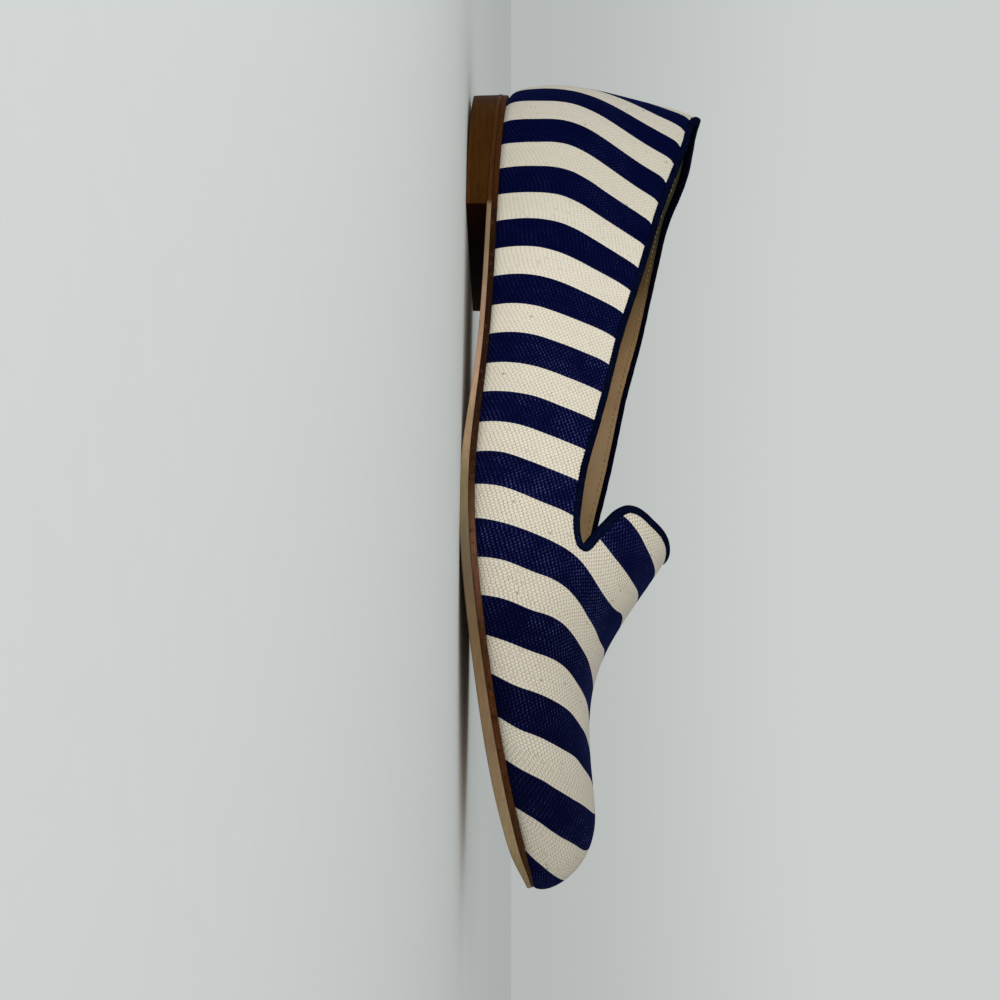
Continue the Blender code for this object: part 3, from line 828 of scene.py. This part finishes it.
def closed_rings(top, bottom, side, side_rows, rounding, flat_inset, scales):
    """The rings of a closed block, from the middle of its upper face over its rounded edges to
    the middle of its lower face. top and bottom make a ring of those faces from an inset, a
    drop and a scale, and side makes the plan of one from the share of the way down."""
    rings = [top(flat_inset, 0, scale) for scale in scales]
    rings += [top(*turn) for turn in [(RIM_INSET, 0)] + corner(rounding[0])]
    high, low = rings[-1], bottom(0, -rounding[1])
    for part in np.linspace(0, 1, side_rows + 2)[1:-1]:
        rings.append(np.column_stack([side(part)[:, :2], (high + part * (low - high))[:, 2]]))
    turns = corner(rounding[1])[::-1] + [(RIM_INSET, 0)]
    rings += [bottom(inset_by, -drop) for inset_by, drop in turns]
    return np.array(rings + [bottom(flat_inset, 0, scale) for scale in scales[::-1]])


def make_layer(name, stand, top, bottom, rounding, side_rows=3, bulge=0.0):
    """A closed layer of the sole. stand gives how far its edge stands out from the feather
    line, top and bottom its heights, and rounding the radii of its upper and lower edges."""
    angles = np.linspace(0, math.pi, LAYER_STATIONS)
    along = along_of(angles)
    foot = np.stack([spine_foot(along), centre_line(spine_foot(along))], -1)
    sheet = Sheet()
    for side in (OUTER, INNER):
        level_x = feather_plan(angles, side, np.minimum(stand(along), 0))[0]

        def ring(face, inset_by, drop, scale=1.0):
            edge = np.stack(feather_plan(angles, side, stand(along) - inset_by), -1)
            plan = foot + scale * (edge - foot)
            height = face(foot[:, 0] + scale * (level_x - foot[:, 0]), scale * max(side, 0))
            return np.column_stack([plan, height - drop])

        def side_ring(part):
            return ring(top, -bulge * math.sin(part * math.pi), 0)

        sheet.grid(closed_rings(partial(ring, top), partial(ring, bottom), side_ring, side_rows,
                                rounding, FLAT_INSET, FLAT_SCALES))
    return sheet.make(name)


def midsole_bottom(along, across):
    return feather_at(along, across) - MIDSOLE_THICKNESS * (1 - TIP_THINNING * near_tip(along))


def outsole_top(along, across):
    return midsole_bottom(along, across) - GAP


def outsole_bottom(along, across):
    """The underside, with the tread of the forefoot worn flat on the floor."""
    return np.maximum(outsole_top(along, across) - outsole_thickness(along), 0)


def make_insole(material):
    piece = make_layer("insole_sock", lambda along: -INSOLE_INSET - 0.1 * back_tuck(along),
                       lambda x, y: feather_at(x, y) + GAP + INSOLE_THICKNESS,
                       lambda x, y: feather_at(x, y) + GAP, (0.7, 0.3))
    return finish_piece(piece, material, "insole_leather", "insole")


def make_midsole(material):
    piece = make_layer("midsole_rand", sole_edge(MIDSOLE_EDGE), feather_at, midsole_bottom,
                       (0.35, 0.2), bulge=0.05)
    return finish_piece(piece, material, "edge_leather", "midsole")


def make_outsole(material):
    piece = make_layer("outsole_leather", sole_edge(OUTSOLE_EDGE),
                       lambda x, y: outsole_top(x, y) + GAP - SEAM, outsole_bottom,
                       (0.25, 0.35), side_rows=5)
    return finish_piece(piece, material, "sole_leather", "outsole")


def heel_outline(level):
    """The outline of the heel in plan at a level from 0 at the floor to 1."""
    sides = []
    for side, breast in ((OUTER, BREAST_OUTER), (INNER, BREAST_INNER)):
        angles = np.linspace(0, station(breast), BREAST_STATIONS)
        stand = sole_edge(HEEL_EDGE - HEEL_TAPER * (1 - level))(along_of(angles))
        sides.append(np.stack(feather_plan(angles, side, stand), -1))
    outer, inner = sides
    front = outer[-1] + np.linspace(0, 1, BREAST_STEPS)[1:-1, None] * (inner[-1] - outer[-1])
    return np.concatenate([outer[::-1][:-1], inner, front[::-1]])


def make_heel_part(name, levels, top, bottom, rounding, material, slot, node):
    """A closed block of the heel between two levels of its side."""

    def ring(level, face, inset_by, drop, scale=1.0):
        out = heel_outline(level) - HEEL_CENTRE
        far = np.linalg.norm(out, axis=1)[:, None]
        plan = HEEL_CENTRE + scale * out * (1 - inset_by / far)
        across = (plan[:, 1] / HEEL_HALF_WIDTH).clip(-1, 1)
        return np.column_stack([plan, face(plan[:, 0].clip(0), across) - drop])

    def side_ring(part):
        return ring(upper + part * (lower - upper), bottom, 0, 0)

    upper, lower = levels
    sheet = Sheet()
    sheet.grid(closed_rings(partial(ring, upper, top), partial(ring, lower, bottom), side_ring,
                            HEEL_ROWS, rounding, RIM_INSET, HEEL_SCALES), wrap=True)
    return finish_piece(sheet.make(name), material, slot, node, sharp=35)


def worn(along, across):
    """How far walking has worn away the outer back corner of the top piece."""
    outer = ((WEAR_START - across) / WEAR_SPREAD).clip(0, 1)
    return WEAR_HEIGHT * (1 - along / WEAR_REACH).clip(0) ** WEAR_POWER * outer


def make_heel(lift_material, top_piece_material):
    split = TOP_PIECE_THICKNESS / HEEL_HEIGHT
    make_heel_part("heel_stack", (1, split), lambda x, y: outsole_bottom(x, y.clip(0)) - SEAM,
                   lambda x, y: np.full(np.shape(x), TOP_PIECE_THICKNESS + 0.02), (0.15, 0.03),
                   lift_material, "heel_leather", "heel_lift")
    make_heel_part("heel_top_piece", (split, 0),
                   lambda x, y: np.full(np.shape(x), TOP_PIECE_THICKNESS), worn, (0.03, 0.35),
                   top_piece_material, "top_piece_leather", "top_piece")


# ---------------------------------------------------------------- materials

def tone(red, green, blue):
    """A display colour from 0 to 255 as the linear colour that the shader needs."""
    return tuple((c / 255 / 12.92 if c <= 10 else ((c / 255 + 0.055) / 1.055) ** 2.4)
                 for c in (red, green, blue)) + (1.0,)


def grey(level):
    return (level, level, level, 1.0)


class Num:
    """A number in a material's node tree, with arithmetic."""

    def __init__(self, paint, socket):
        self.paint, self.socket = paint, socket

    def op(self, operation, *others):
        node = self.paint.node("ShaderNodeMath", enumerate((self, *others)), operation=operation)
        return Num(self.paint, node.outputs[0])

    __add__ = partialmethod(op, "ADD")
    __sub__ = partialmethod(op, "SUBTRACT")
    __mul__ = partialmethod(op, "MULTIPLY")
    __truediv__ = partialmethod(op, "DIVIDE")
    floor = partialmethod(op, "FLOOR")
    fract = partialmethod(op, "FRACT")
    absolute = partialmethod(op, "ABSOLUTE")

    def off_centre(self):
        """Distance from the middle of the whole step that the number lies in, 0 to 0.5."""
        return (self.fract() - 0.5).absolute()

    def ramp(self, low, high, to_low=0.0, to_high=1.0):
        """Goes smoothly from to_low at low to to_high at high, and stays level beyond."""
        node = self.paint.node("ShaderNodeMapRange", enumerate((self, low, high, to_low, to_high)),
                               interpolation_type="SMOOTHSTEP")
        return Num(self.paint, node.outputs[0])


class Paint:
    """Builds one material's nodes. Plain colours are display values from 0 to 255."""

    def __init__(self, name, roughness, specular, sheen=0.0):
        self.material = bpy.data.materials.new(name)
        self.material.use_nodes = True
        self.tree = self.material.node_tree
        self.shader = self.tree.nodes["Principled BSDF"]
        for key, value in (("Roughness", roughness), ("Specular IOR Level", specular),
                           ("Sheen Weight", sheen)):
            self.shader.inputs[key].default_value = value
        # The place on the shoe in millimetres, and its parts along the shoe and up.
        self.place = self.node("ShaderNodeTexCoord").outputs["Object"]
        self.place = self.stretched(1000, 1000, 1000)
        self.x, _, self.z = self.parts(self.place)

    def feed(self, socket, value):
        value = getattr(value, "socket", value)
        if isinstance(value, bpy.types.NodeSocket):
            self.tree.links.new(value, socket)
        else:
            socket.default_value = tone(*value) if socket.type == "RGBA" else value

    def node(self, kind, inputs=(), **settings):
        node = self.tree.nodes.new(kind)
        for key, value in settings.items():
            setattr(node, key, value)
        for key, value in dict(inputs).items():
            self.feed(node.inputs[key], value)
        return node

    def parts(self, vector):
        return [Num(self, out) for out in self.node("ShaderNodeSeparateXYZ", {0: vector}).outputs]

    def vector(self, *values):
        return self.node("ShaderNodeCombineXYZ", enumerate(values)).outputs[0]

    def stretched(self, *factors):
        """The place with each part times its factor."""
        return self.node("ShaderNodeVectorMath", {0: self.place, 1: factors},
                         operation="MULTIPLY").outputs[0]

    def threads(self):
        return self.parts(self.node("ShaderNodeAttribute", attribute_name="threads").outputs["Vector"])

    def facing(self):
        return self.parts(self.node("ShaderNodeNewGeometry").outputs["Normal"])

    def noise_node(self, scale, detail=2.0, roughness=0.5, at=None):
        where = self.place if at is None else at
        return self.node("ShaderNodeTexNoise", {"Vector": where, "Scale": scale,
                                                "Detail": detail, "Roughness": roughness})

    def noise(self, scale, detail=2.0, roughness=0.5, at=None):
        return Num(self, self.noise_node(scale, detail, roughness, at).outputs[0])

    def chance(self, *cell):
        """A random number from 0 to 1 for each cell."""
        node = self.node("ShaderNodeTexWhiteNoise", {"Vector": self.vector(*cell)})
        return Num(self, node.outputs[0])

    def mix(self, factor, first, second):
        return self.node("ShaderNodeMix", {0: factor, 6: first, 7: second},
                         data_type="RGBA").outputs[2]

    def layers(self, colour, *coats):
        """Lays coats over a colour, each an amount from 0 to 1 and a colour."""
        for amount, coat in coats:
            colour = self.mix(amount, colour, coat)
        return colour

    def bands(self, rows, shade=tone):
        """A colour that changes along the shoe by a table of places and shades."""
        first, last = rows[0][0], rows[-1][0]
        node = self.node("ShaderNodeValToRGB", {0: (self.x - first) / (last - first)})
        stops = node.color_ramp.elements
        for place, *levels in rows[1:-1]:
            stops.new((place - first) / (last - first)).color = shade(*levels)
        stops[0].color, stops[-1].color = shade(*rows[0][1:]), shade(*rows[-1][1:])
        return node.outputs[0]

    def levels(self, rows):
        """A number that changes along the shoe by a table of places and levels."""
        return Num(self, self.bands(rows, grey))

    def scaled(self, colour, factor):
        """A colour times a number."""
        grey_factor = self.node("ShaderNodeCombineColor", {0: factor, 1: factor, 2: factor})
        return self.node("ShaderNodeMix", {0: 1.0, 6: colour, 7: grey_factor.outputs[0]},
                         data_type="RGBA", blend_type="MULTIPLY").outputs[2]

    def bump(self, height, distance, strength=1.0):
        """Relief of a height from 0 to 1 that stands for distance in millimetres."""
        return self.node("ShaderNodeBump", {"Height": height, "Distance": distance * MM,
                                            "Strength": strength}).outputs[0]

    def done(self, colour, normal=None, roughness=None):
        for key, value in (("Base Color", colour), ("Normal", normal), ("Roughness", roughness)):
            if value is not None:
                self.feed(self.shader.inputs[key], value)
        return self.material


WEFT_PITCH = STRIPE / 13
FLOAT_LENGTH = 1.36
# How much wider than STRIPE a navy stripe is; a cream one is narrower by as much.
NAVY_EXTRA = 0.3

# How plainly the weave shows along the shoe: faint where the cloth is stretched over the heel,
# strongest over the instep, and how strong a painted glint on the warp ticks is in the navy stripes.
#  millimetres from the shoe's middle, level
WEAVE_RELIEF = ((-131, 0.28), (-85, 0.42), (-40, 0.6), (5, 0.85), (30, 1.0), (100, 0.95),
                (125, 0.85))
NAVY_PAINTED_GLINT = ((-131, 0.14), (-60, 0.18), (-39, 0.24), (-19, 0.5), (17, 0.85), (37, 0.8),
              (60, 0.6), (85, 0.4), (103, 0.3), (122, 0.5))
# Colours along the shoe. Over each part's own colour they lay painted light and shade: cream and
# navy darker towards heel and toe, the rand and the sole's edge lighter and darker by turns,
# the lining darker towards the heel, and a painted highlight on the binding at the top of the back.
#  millimetres from the shoe's middle, red, green, blue
CREAM_TONES = ((-131, 204, 197, 183), (-105, 208, 201, 187), (-80, 216, 208, 192),
               (-55, 231, 222, 206), (-35, 235, 226, 209), (22, 235, 226, 209),
               (45, 229, 220, 203), (70, 222, 213, 197), (95, 220, 212, 197),
               (122, 210, 202, 187))
NAVY_TONES = ((-131, 3, 7, 43), (-40, 5, 8, 46), (35, 8, 10, 49), (70, 6, 7, 37),
              (125, 8, 8, 40))
RAND_TONES = ((-131, 66, 35, 10), (-74, 62, 33, 8), (-66, 38, 20, 5), (-36, 38, 18, 8),
              (-3, 42, 24, 14), (21, 58, 33, 14), (44, 106, 72, 53), (68, 66, 38, 20),
              (95, 76, 43, 20), (119, 62, 38, 20))
EDGE_TONES = ((-66, 134, 112, 85), (-54, 136, 114, 86), (-36, 165, 134, 110),
              (-3, 183, 147, 118), (21, 140, 121, 89), (44, 110, 95, 75), (68, 124, 99, 70),
              (95, 139, 114, 86), (119, 152, 130, 98))
LINING_TONES = ((-93, 74, 72, 54), (-72, 112, 90, 56), (-45, 170, 138, 98),
                (-32, 179, 147, 109), (-5, 181, 152, 117), (15, 168, 142, 104))
BINDING_TONES = ((-131, 30, 50, 80), (-124, 16, 28, 52), (-112, 7, 10, 34), (20, 6, 8, 28),
                 (45, 10, 16, 40))
HEEL_BROWN = (67, 38, 9)


def canvas_material():
    """Canvas of fat weft threads, cream or navy, over a thin warp that shows only as a tick
    between the ends of their floats, staggered from row to row."""
    p = Paint("striped_canvas", 0.95, 0.0, sheen=0.1)
    p.shader.inputs["Sheen Roughness"].default_value = 0.45
    p.shader.inputs["Sheen Tint"].default_value = tone(90, 110, 200)
    u, v, rise = p.threads()
    waver = p.parts(p.noise_node(0.12).outputs["Color"])
    v = v + (waver[1] - 0.5) * 0.4
    row_at = v / WEFT_PITCH
    row = row_at.floor()
    slip = (p.chance(row, 5.0, 0.0) - 0.5) * 0.16
    float_at = (u + (waver[0] - 0.5) * 0.9) / FLOAT_LENGTH + row * 0.4 + slip
    thread = float_at.floor()
    along, across = float_at.off_centre(), row_at.off_centre()
    tick = along.ramp(0.31, 0.46) * across.ramp(0.22, 0.46, 1.0, 0.25)
    in_stripe = (v / STRIPE).off_centre().ramp(0.465, 0.48, 1.0, 0.0)
    groove_shade = across.ramp(0.26, 0.5) * in_stripe

    half = 0.25 + NAVY_EXTRA / STRIPE / 4
    from_navy = ((v / (2 * STRIPE)).fract() - half).absolute()
    navy = from_navy.ramp(half - 0.003, half + 0.003, 1.0, 0.0)

    relief, glint = p.levels(WEAVE_RELIEF), p.levels(NAVY_PAINTED_GLINT)
    strength = p.chance(thread, row, 4.0) * 0.5 + 0.5
    # Bits of seed and a few darker fibres, each smaller than a float.
    inside = along.ramp(0.12, 0.3, 1.0, 0.0) * across.ramp(0.15, 0.4, 1.0, 0.0)
    seed = p.chance(thread, row, 9.0).ramp(0.9965, 0.997) * inside
    fleck = p.chance(thread, row, 7.0).ramp(0.975, 0.98) * inside
    streak = p.noise(1.0, at=p.vector(u * 0.35, v * 1.5, 2.0)).ramp(0.68, 0.8)
    # Cream: its shade along the shoe holds painted light, darker towards heel and toe; the grooves
    # between rows and the ticks between floats are painted shade; seeds, flecks and streaks are the
    # cloth's own.
    cream = p.layers(p.bands(CREAM_TONES), (groove_shade * relief * 0.5, (172, 156, 130)),
                     (tick * strength * relief * 0.95, (150, 126, 98)),
                     (seed * 0.8, (84, 62, 40)), (fleck * 0.4, (150, 122, 84)),
                     (streak * 0.25, (190, 172, 138)))

    luck = p.chance(thread, row, 1.0)
    patch = p.noise(0.11, 3.0, 0.6).ramp(0.36, 0.64, 0.25, 1.0)
    # The painted glint grows higher up the wall, where the surface turns away, and fades again on the
    # tab.
    side = rise.ramp(12, 42, 0.8, 1.5) * rise.ramp(38, 47, 1.0, 0.35)
    painted_glint = tick * (luck * luck * 0.8 + 0.2) * patch * glint * side
    # Navy: its shade along the shoe holds painted light, the grooves get painted shade and the warp
    # ticks a painted glint.
    blue = p.layers(p.bands(NAVY_TONES), (groove_shade * 0.6, (0, 0, 12)),
                    (painted_glint * 0.9, (98, 106, 166)))

    cloud = p.noise(0.035, 3.0) - 0.5
    slub = p.noise(1.0, 1.0, at=p.vector(u * 0.04, row * 3.7, 0.0)) - 0.5
    # Painted shadow along the foot of the canvas, where it meets the sole.
    painted_foot_shadow = rise.ramp(0.0, 2.2, 0.86, 1.0)
    colour = p.scaled(p.mix(navy, cream, blue), (slub * 0.1 + cloud * 0.1 + 1.0) * painted_foot_shadow)
    weft = (across * across * -3.2 + 1.0) * (tick * -0.65 + 1.0)
    height = weft * (relief * 0.6 + 0.4) + p.noise(9.0) * 0.12
    return p.done(colour, p.bump(height, 0.14, 0.9))


def binding_material():
    """A matt navy ribbon with fine ribs across it; painted shade makes it nearly black inside the
    shoe.
    """
    p = Paint("navy_ribbon", 0.85, 0.0)
    run, girth, _ = p.threads()
    rib = (run * (2 * math.pi / 0.46)).op("SINE") * 0.5 + 0.5
    yarn = p.noise(1.0, at=p.vector(run * 2.2, girth * 1.3, 0.0))
    # BINDING_TONES carry a painted highlight at the top of the back.
    colour = p.scaled(p.bands(BINDING_TONES), yarn.ramp(0.35, 0.75, 0.6, 1.8))
    # The inner half of the ribbon's girth is painted nearly black as shade inside the shoe.
    colour = p.layers(colour, (p.noise(0.25).ramp(0.45, 0.75) * 0.4, (10, 24, 44)),
                      (girth.ramp(5.0, 6.0) * 0.8, (6, 5, 7)),
                      (p.noise(1.9, 1.0).ramp(0.68, 0.78) * 0.35, (58, 74, 104)))
    return p.done(colour, p.bump(rib * 0.5 + p.noise(4.0), 0.12, 0.8))


def thread_material():
    """Tan thread with painted shade at both ends, where it goes down into its holes in the lining."""
    p = Paint("stitch_thread", 0.7, 0.1)
    end, luck, _ = p.threads()
    colour = p.mix(p.noise(1.2), (176, 148, 106), (150, 122, 84))
    # Painted shade at the ends, where the thread dips into its holes.
    colour = p.mix(end.absolute().ramp(0.55, 0.8) * luck, colour, (46, 26, 16))
    return p.done(colour, p.bump(p.noise(6.0), 0.05))


def leather_material(name, roughness, grain, relief):
    """Smooth leather with a fine grain, clouded colour, small creases and painted shade towards the
    heel.
    """
    p = Paint(name, roughness, 0.08)
    cloud = p.noise(0.06, 4.0, 0.6)
    cells = p.node("ShaderNodeTexVoronoi", {"Vector": p.place, "Scale": grain * 1.6})
    pores = Num(p, cells.outputs["Distance"])
    # LINING_TONES carry painted shade, darker towards the heel.
    colour = p.scaled(p.bands(LINING_TONES), cloud.ramp(0.3, 0.7, 1.06, 0.86))
    colour = p.scaled(colour, pores.ramp(0.0, 0.35, 0.9, 1.0))
    wrinkle = p.noise(1.0, 4.0, at=p.stretched(0.25, 0.7, 0.7))
    normal = p.bump(pores * 0.6 + wrinkle * 0.5, relief, 0.7)
    return p.done(colour, normal, cloud.ramp(0.3, 0.7, roughness - 0.06, roughness + 0.1))


def fibres(p):
    """Streaks that run along the cut edge of a leather layer."""
    return p.noise(1.0, 4.0, 0.65, at=p.stretched(0.16, 0.16, 3.4))


def rand_material():
    """Dark dressed edge, mottled with orange and near-black spots, with painted light and shade along
    it.
    """
    p = Paint("brown_edge", 0.55, 0.03)
    streaks = fibres(p)
    spots = p.noise(0.9, 3.0)
    front = p.x.ramp(-78, -66, 0.2, 1.0)
    # RAND_TONES carry painted light and shade along the shoe over the edge's own dark brown.
    colour = p.layers(p.bands(RAND_TONES), (spots.ramp(0.56, 0.72) * front * 0.25, (128, 80, 46)),
                      (p.noise(0.55, 3.0).ramp(0.55, 0.7) * front * 0.6, (26, 13, 8)))
    colour = p.scaled(colour, streaks.ramp(0.3, 0.7, 0.75, 1.25))
    return p.done(colour, p.bump(streaks + spots * 0.5, 0.08, 0.8))


def outsole_material():
    """Tan sole leather: burnished brown round the heel, scuffed on the tread."""
    p = Paint("sole_leather", 0.6, 0.05)
    streaks = fibres(p)
    cloud = p.noise(0.05, 4.0, 0.6)
    # EDGE_TONES carry painted light and shade along the shoe over the edge's own tan.
    edge = p.scaled(p.bands(EDGE_TONES),
                    streaks.ramp(0.3, 0.72, 0.84, 1.1) * cloud.ramp(0.35, 0.65, 1.05, 0.9))
    edge = p.mix(p.noise(0.7, 3.0).ramp(0.6, 0.75) * 0.35, edge, (96, 76, 54))
    stained = (p.x + (p.noise(0.3) - 0.5) * 3.0).ramp(-71.5, -68.5, 1.0, 0.0)
    edge = p.mix(stained, edge, p.scaled(HEEL_BROWN, streaks.ramp(0.3, 0.7, 0.75, 1.25)))
    tread = p.z.ramp(0.02, 1.4, 1.0, 0.0)
    scuff = p.noise(1.0, 5.0, 0.7, at=p.stretched(0.5, 0.12, 0.5))
    worn_tan = p.mix(scuff.ramp(0.42, 0.66), (150, 124, 98), (92, 76, 62))
    scratch = p.noise(1.0, 3.0, at=p.stretched(0.08, 1.9, 1.0))
    tan = p.layers((186, 152, 118), (cloud.ramp(0.3, 0.7), (164, 128, 94)),
                   (tread * 0.7, worn_tan), (scratch.ramp(0.64, 0.72) * 0.4, (120, 94, 70)))
    under = p.facing()[2].ramp(-0.99, -0.92, 1.0, 0.0)
    height = streaks * 0.6 + p.noise(1.3, 3.0) * 0.5 + tread * scuff
    return p.done(p.mix(under, edge, tan), p.bump(height, 0.07, 0.7), tread.ramp(0, 1, 0.5, 0.8))


def heel_material(name):
    """Stacked leather dressed an even brown, so that the layers show only as faint lines, with a
    front face that is dark partly from its dressing and partly from painted shade."""
    p = Paint(name, 0.5, 0.02)
    layer_at = (p.z + (p.noise(0.12) - 0.5) * 0.35 + 0.5) / 2.3
    line = layer_at.off_centre().ramp(0.4, 0.5)
    streaks = fibres(p)
    colour = p.layers(HEEL_BROWN, (p.noise(0.11, 4.0, 0.6).ramp(0.35, 0.7), (56, 30, 7)),
                      (p.z.ramp(0.0, 1.6, 0.6, 0.0), (84, 55, 24)))
    # The front face, toward the toe, gets a darker coat: partly its dark dressing, partly painted
    # shade.
    colour = p.layers(p.scaled(colour, streaks.ramp(0.28, 0.72, 0.78, 1.22)),
                      (line * 0.18, (24, 11, 4)),
                      (p.facing()[0].ramp(0.8, 0.96) * 0.9, (34, 12, 8)))
    return p.done(colour, p.bump(streaks * 0.7 - line * 0.4, 0.07, 0.8))


def dress_shoe():
    make_canvas(canvas_material())
    make_lining(leather_material("tan_lining", 0.62, 0.9, 0.04))
    make_binding(binding_material())
    make_stitches(thread_material())
    make_insole(leather_material("tan_insole", 0.5, 0.7, 0.05))
    make_midsole(rand_material())
    make_outsole(outsole_material())
    make_heel(heel_material("stacked_heel"), heel_material("heel_top_piece"))


# ---------------------------------------------------------------- floor, light and camera

PAPER, PAINTED_HORIZON_SHADE, CEILING = (204, 208, 206), (181, 185, 183), (172, 175, 174)
FLOOR_SIDES = 128
# In metres.
FLOOR_RADII = (15.0, 10.0, 5.0, 2.5, 1.2, 0.6, 0.3, 0.0)
LAMP_PLACE, LAMP_AIM, LAMP_SIZE = (-0.06, -0.6, 0.12), (-0.02, 0, 0.04), (0.35, 0.25)
# In watts.
LAMP_POWER = 1.6


def make_stage():
    """A pale floor that runs to the horizon."""
    radii = np.array(FLOOR_RADII)[:, None] / MM
    turn = np.linspace(0, 2 * math.pi, FLOOR_SIDES, endpoint=False)
    rings = np.stack(np.broadcast_arrays(radii * np.cos(turn), radii * np.sin(turn), 0.0), -1)
    sheet = Sheet()
    sheet.grid(rings - TO_FRAME, wrap=True)
    floor = sheet.make("studio_floor", recalc=False)
    p = Paint("pale_paper", 0.9, 0.0)
    floor.data.materials.append(p.done(p.mix(p.noise(0.4, 3.0), (231, 233, 232), (228, 230, 229))))


def light_studio():
    """One soft box low on the camera's side, in a room that is pale all round."""
    lamp = bpy.data.lights.new("front_box", "AREA")
    lamp.shape = "RECTANGLE"
    lamp.size, lamp.size_y = LAMP_SIZE
    lamp.energy = LAMP_POWER
    light = bpy.data.objects.new("front_box", lamp)
    light.location = LAMP_PLACE
    light.rotation_mode = "QUATERNION"
    light.rotation_quaternion = (Vector(LAMP_AIM) - Vector(LAMP_PLACE)).to_track_quat("-Z", "Y")
    bpy.context.scene.collection.objects.link(light)

    world = bpy.data.worlds.new("soft_room")
    bpy.context.scene.world = world
    world.use_nodes = True
    tree = world.node_tree
    # The sky is darker near the horizon, a painted soft shade where the backdrop meets the floor, and
    # a little darker overhead.
    where = tree.nodes.new("ShaderNodeTexCoord")
    height = tree.nodes.new("ShaderNodeSeparateXYZ")
    fade = tree.nodes.new("ShaderNodeValToRGB")
    tree.links.new(where.outputs["Generated"], height.inputs[0])
    tree.links.new(height.outputs["Z"], fade.inputs["Fac"])
    tree.links.new(fade.outputs["Color"], tree.nodes["Background"].inputs["Color"])
    fade.color_ramp.interpolation = "EASE"
    stops = fade.color_ramp.elements
    stops[0].position, stops[0].color = 0.0, tone(*PAINTED_HORIZON_SHADE)
    stops[1].position, stops[1].color = 0.95, tone(*CEILING)
    for place in (0.28, 0.5):
        stops.new(place).color = tone(*PAPER)
    bpy.context.scene.view_settings.view_transform = "Standard"


# Where the camera stands in the shoe's own frame, and how it is turned from a camera that
# looks straight across the shoe with the toe at the bottom of the picture.
CAMERA_PLACE = (256.0, -326.5, 14.5)
CAMERA_TURN = (-0.3239, 0.0112, 0.0016)
CAMERA_LENS, SENSOR = 39.22, 36.0


def set_camera():
    camera_data = bpy.data.cameras.new("camera")
    camera_data.sensor_width = SENSOR
    camera_data.lens = CAMERA_LENS
    camera_data.clip_start, camera_data.clip_end = 0.01, 20
    camera = bpy.data.objects.new("camera", camera_data)
    bpy.context.scene.collection.objects.link(camera)
    straight = Matrix(((0, 0, 1), (1, 0, 0), (0, 1, 0)))
    angle = Vector(CAMERA_TURN).length
    turned = Quaternion(Vector(CAMERA_TURN) / angle, angle).to_matrix() @ straight
    right, down, ahead = turned
    axes = Matrix((right, -down, -ahead)).transposed().to_4x4()
    where = (Vector(CAMERA_PLACE) + Vector(TO_FRAME)) * MM
    camera.matrix_world = Matrix.Translation(where) @ axes
    bpy.context.scene.camera = camera


dress_shoe()
make_stage()
light_studio()
set_camera()

bpy.context.view_layer.update()
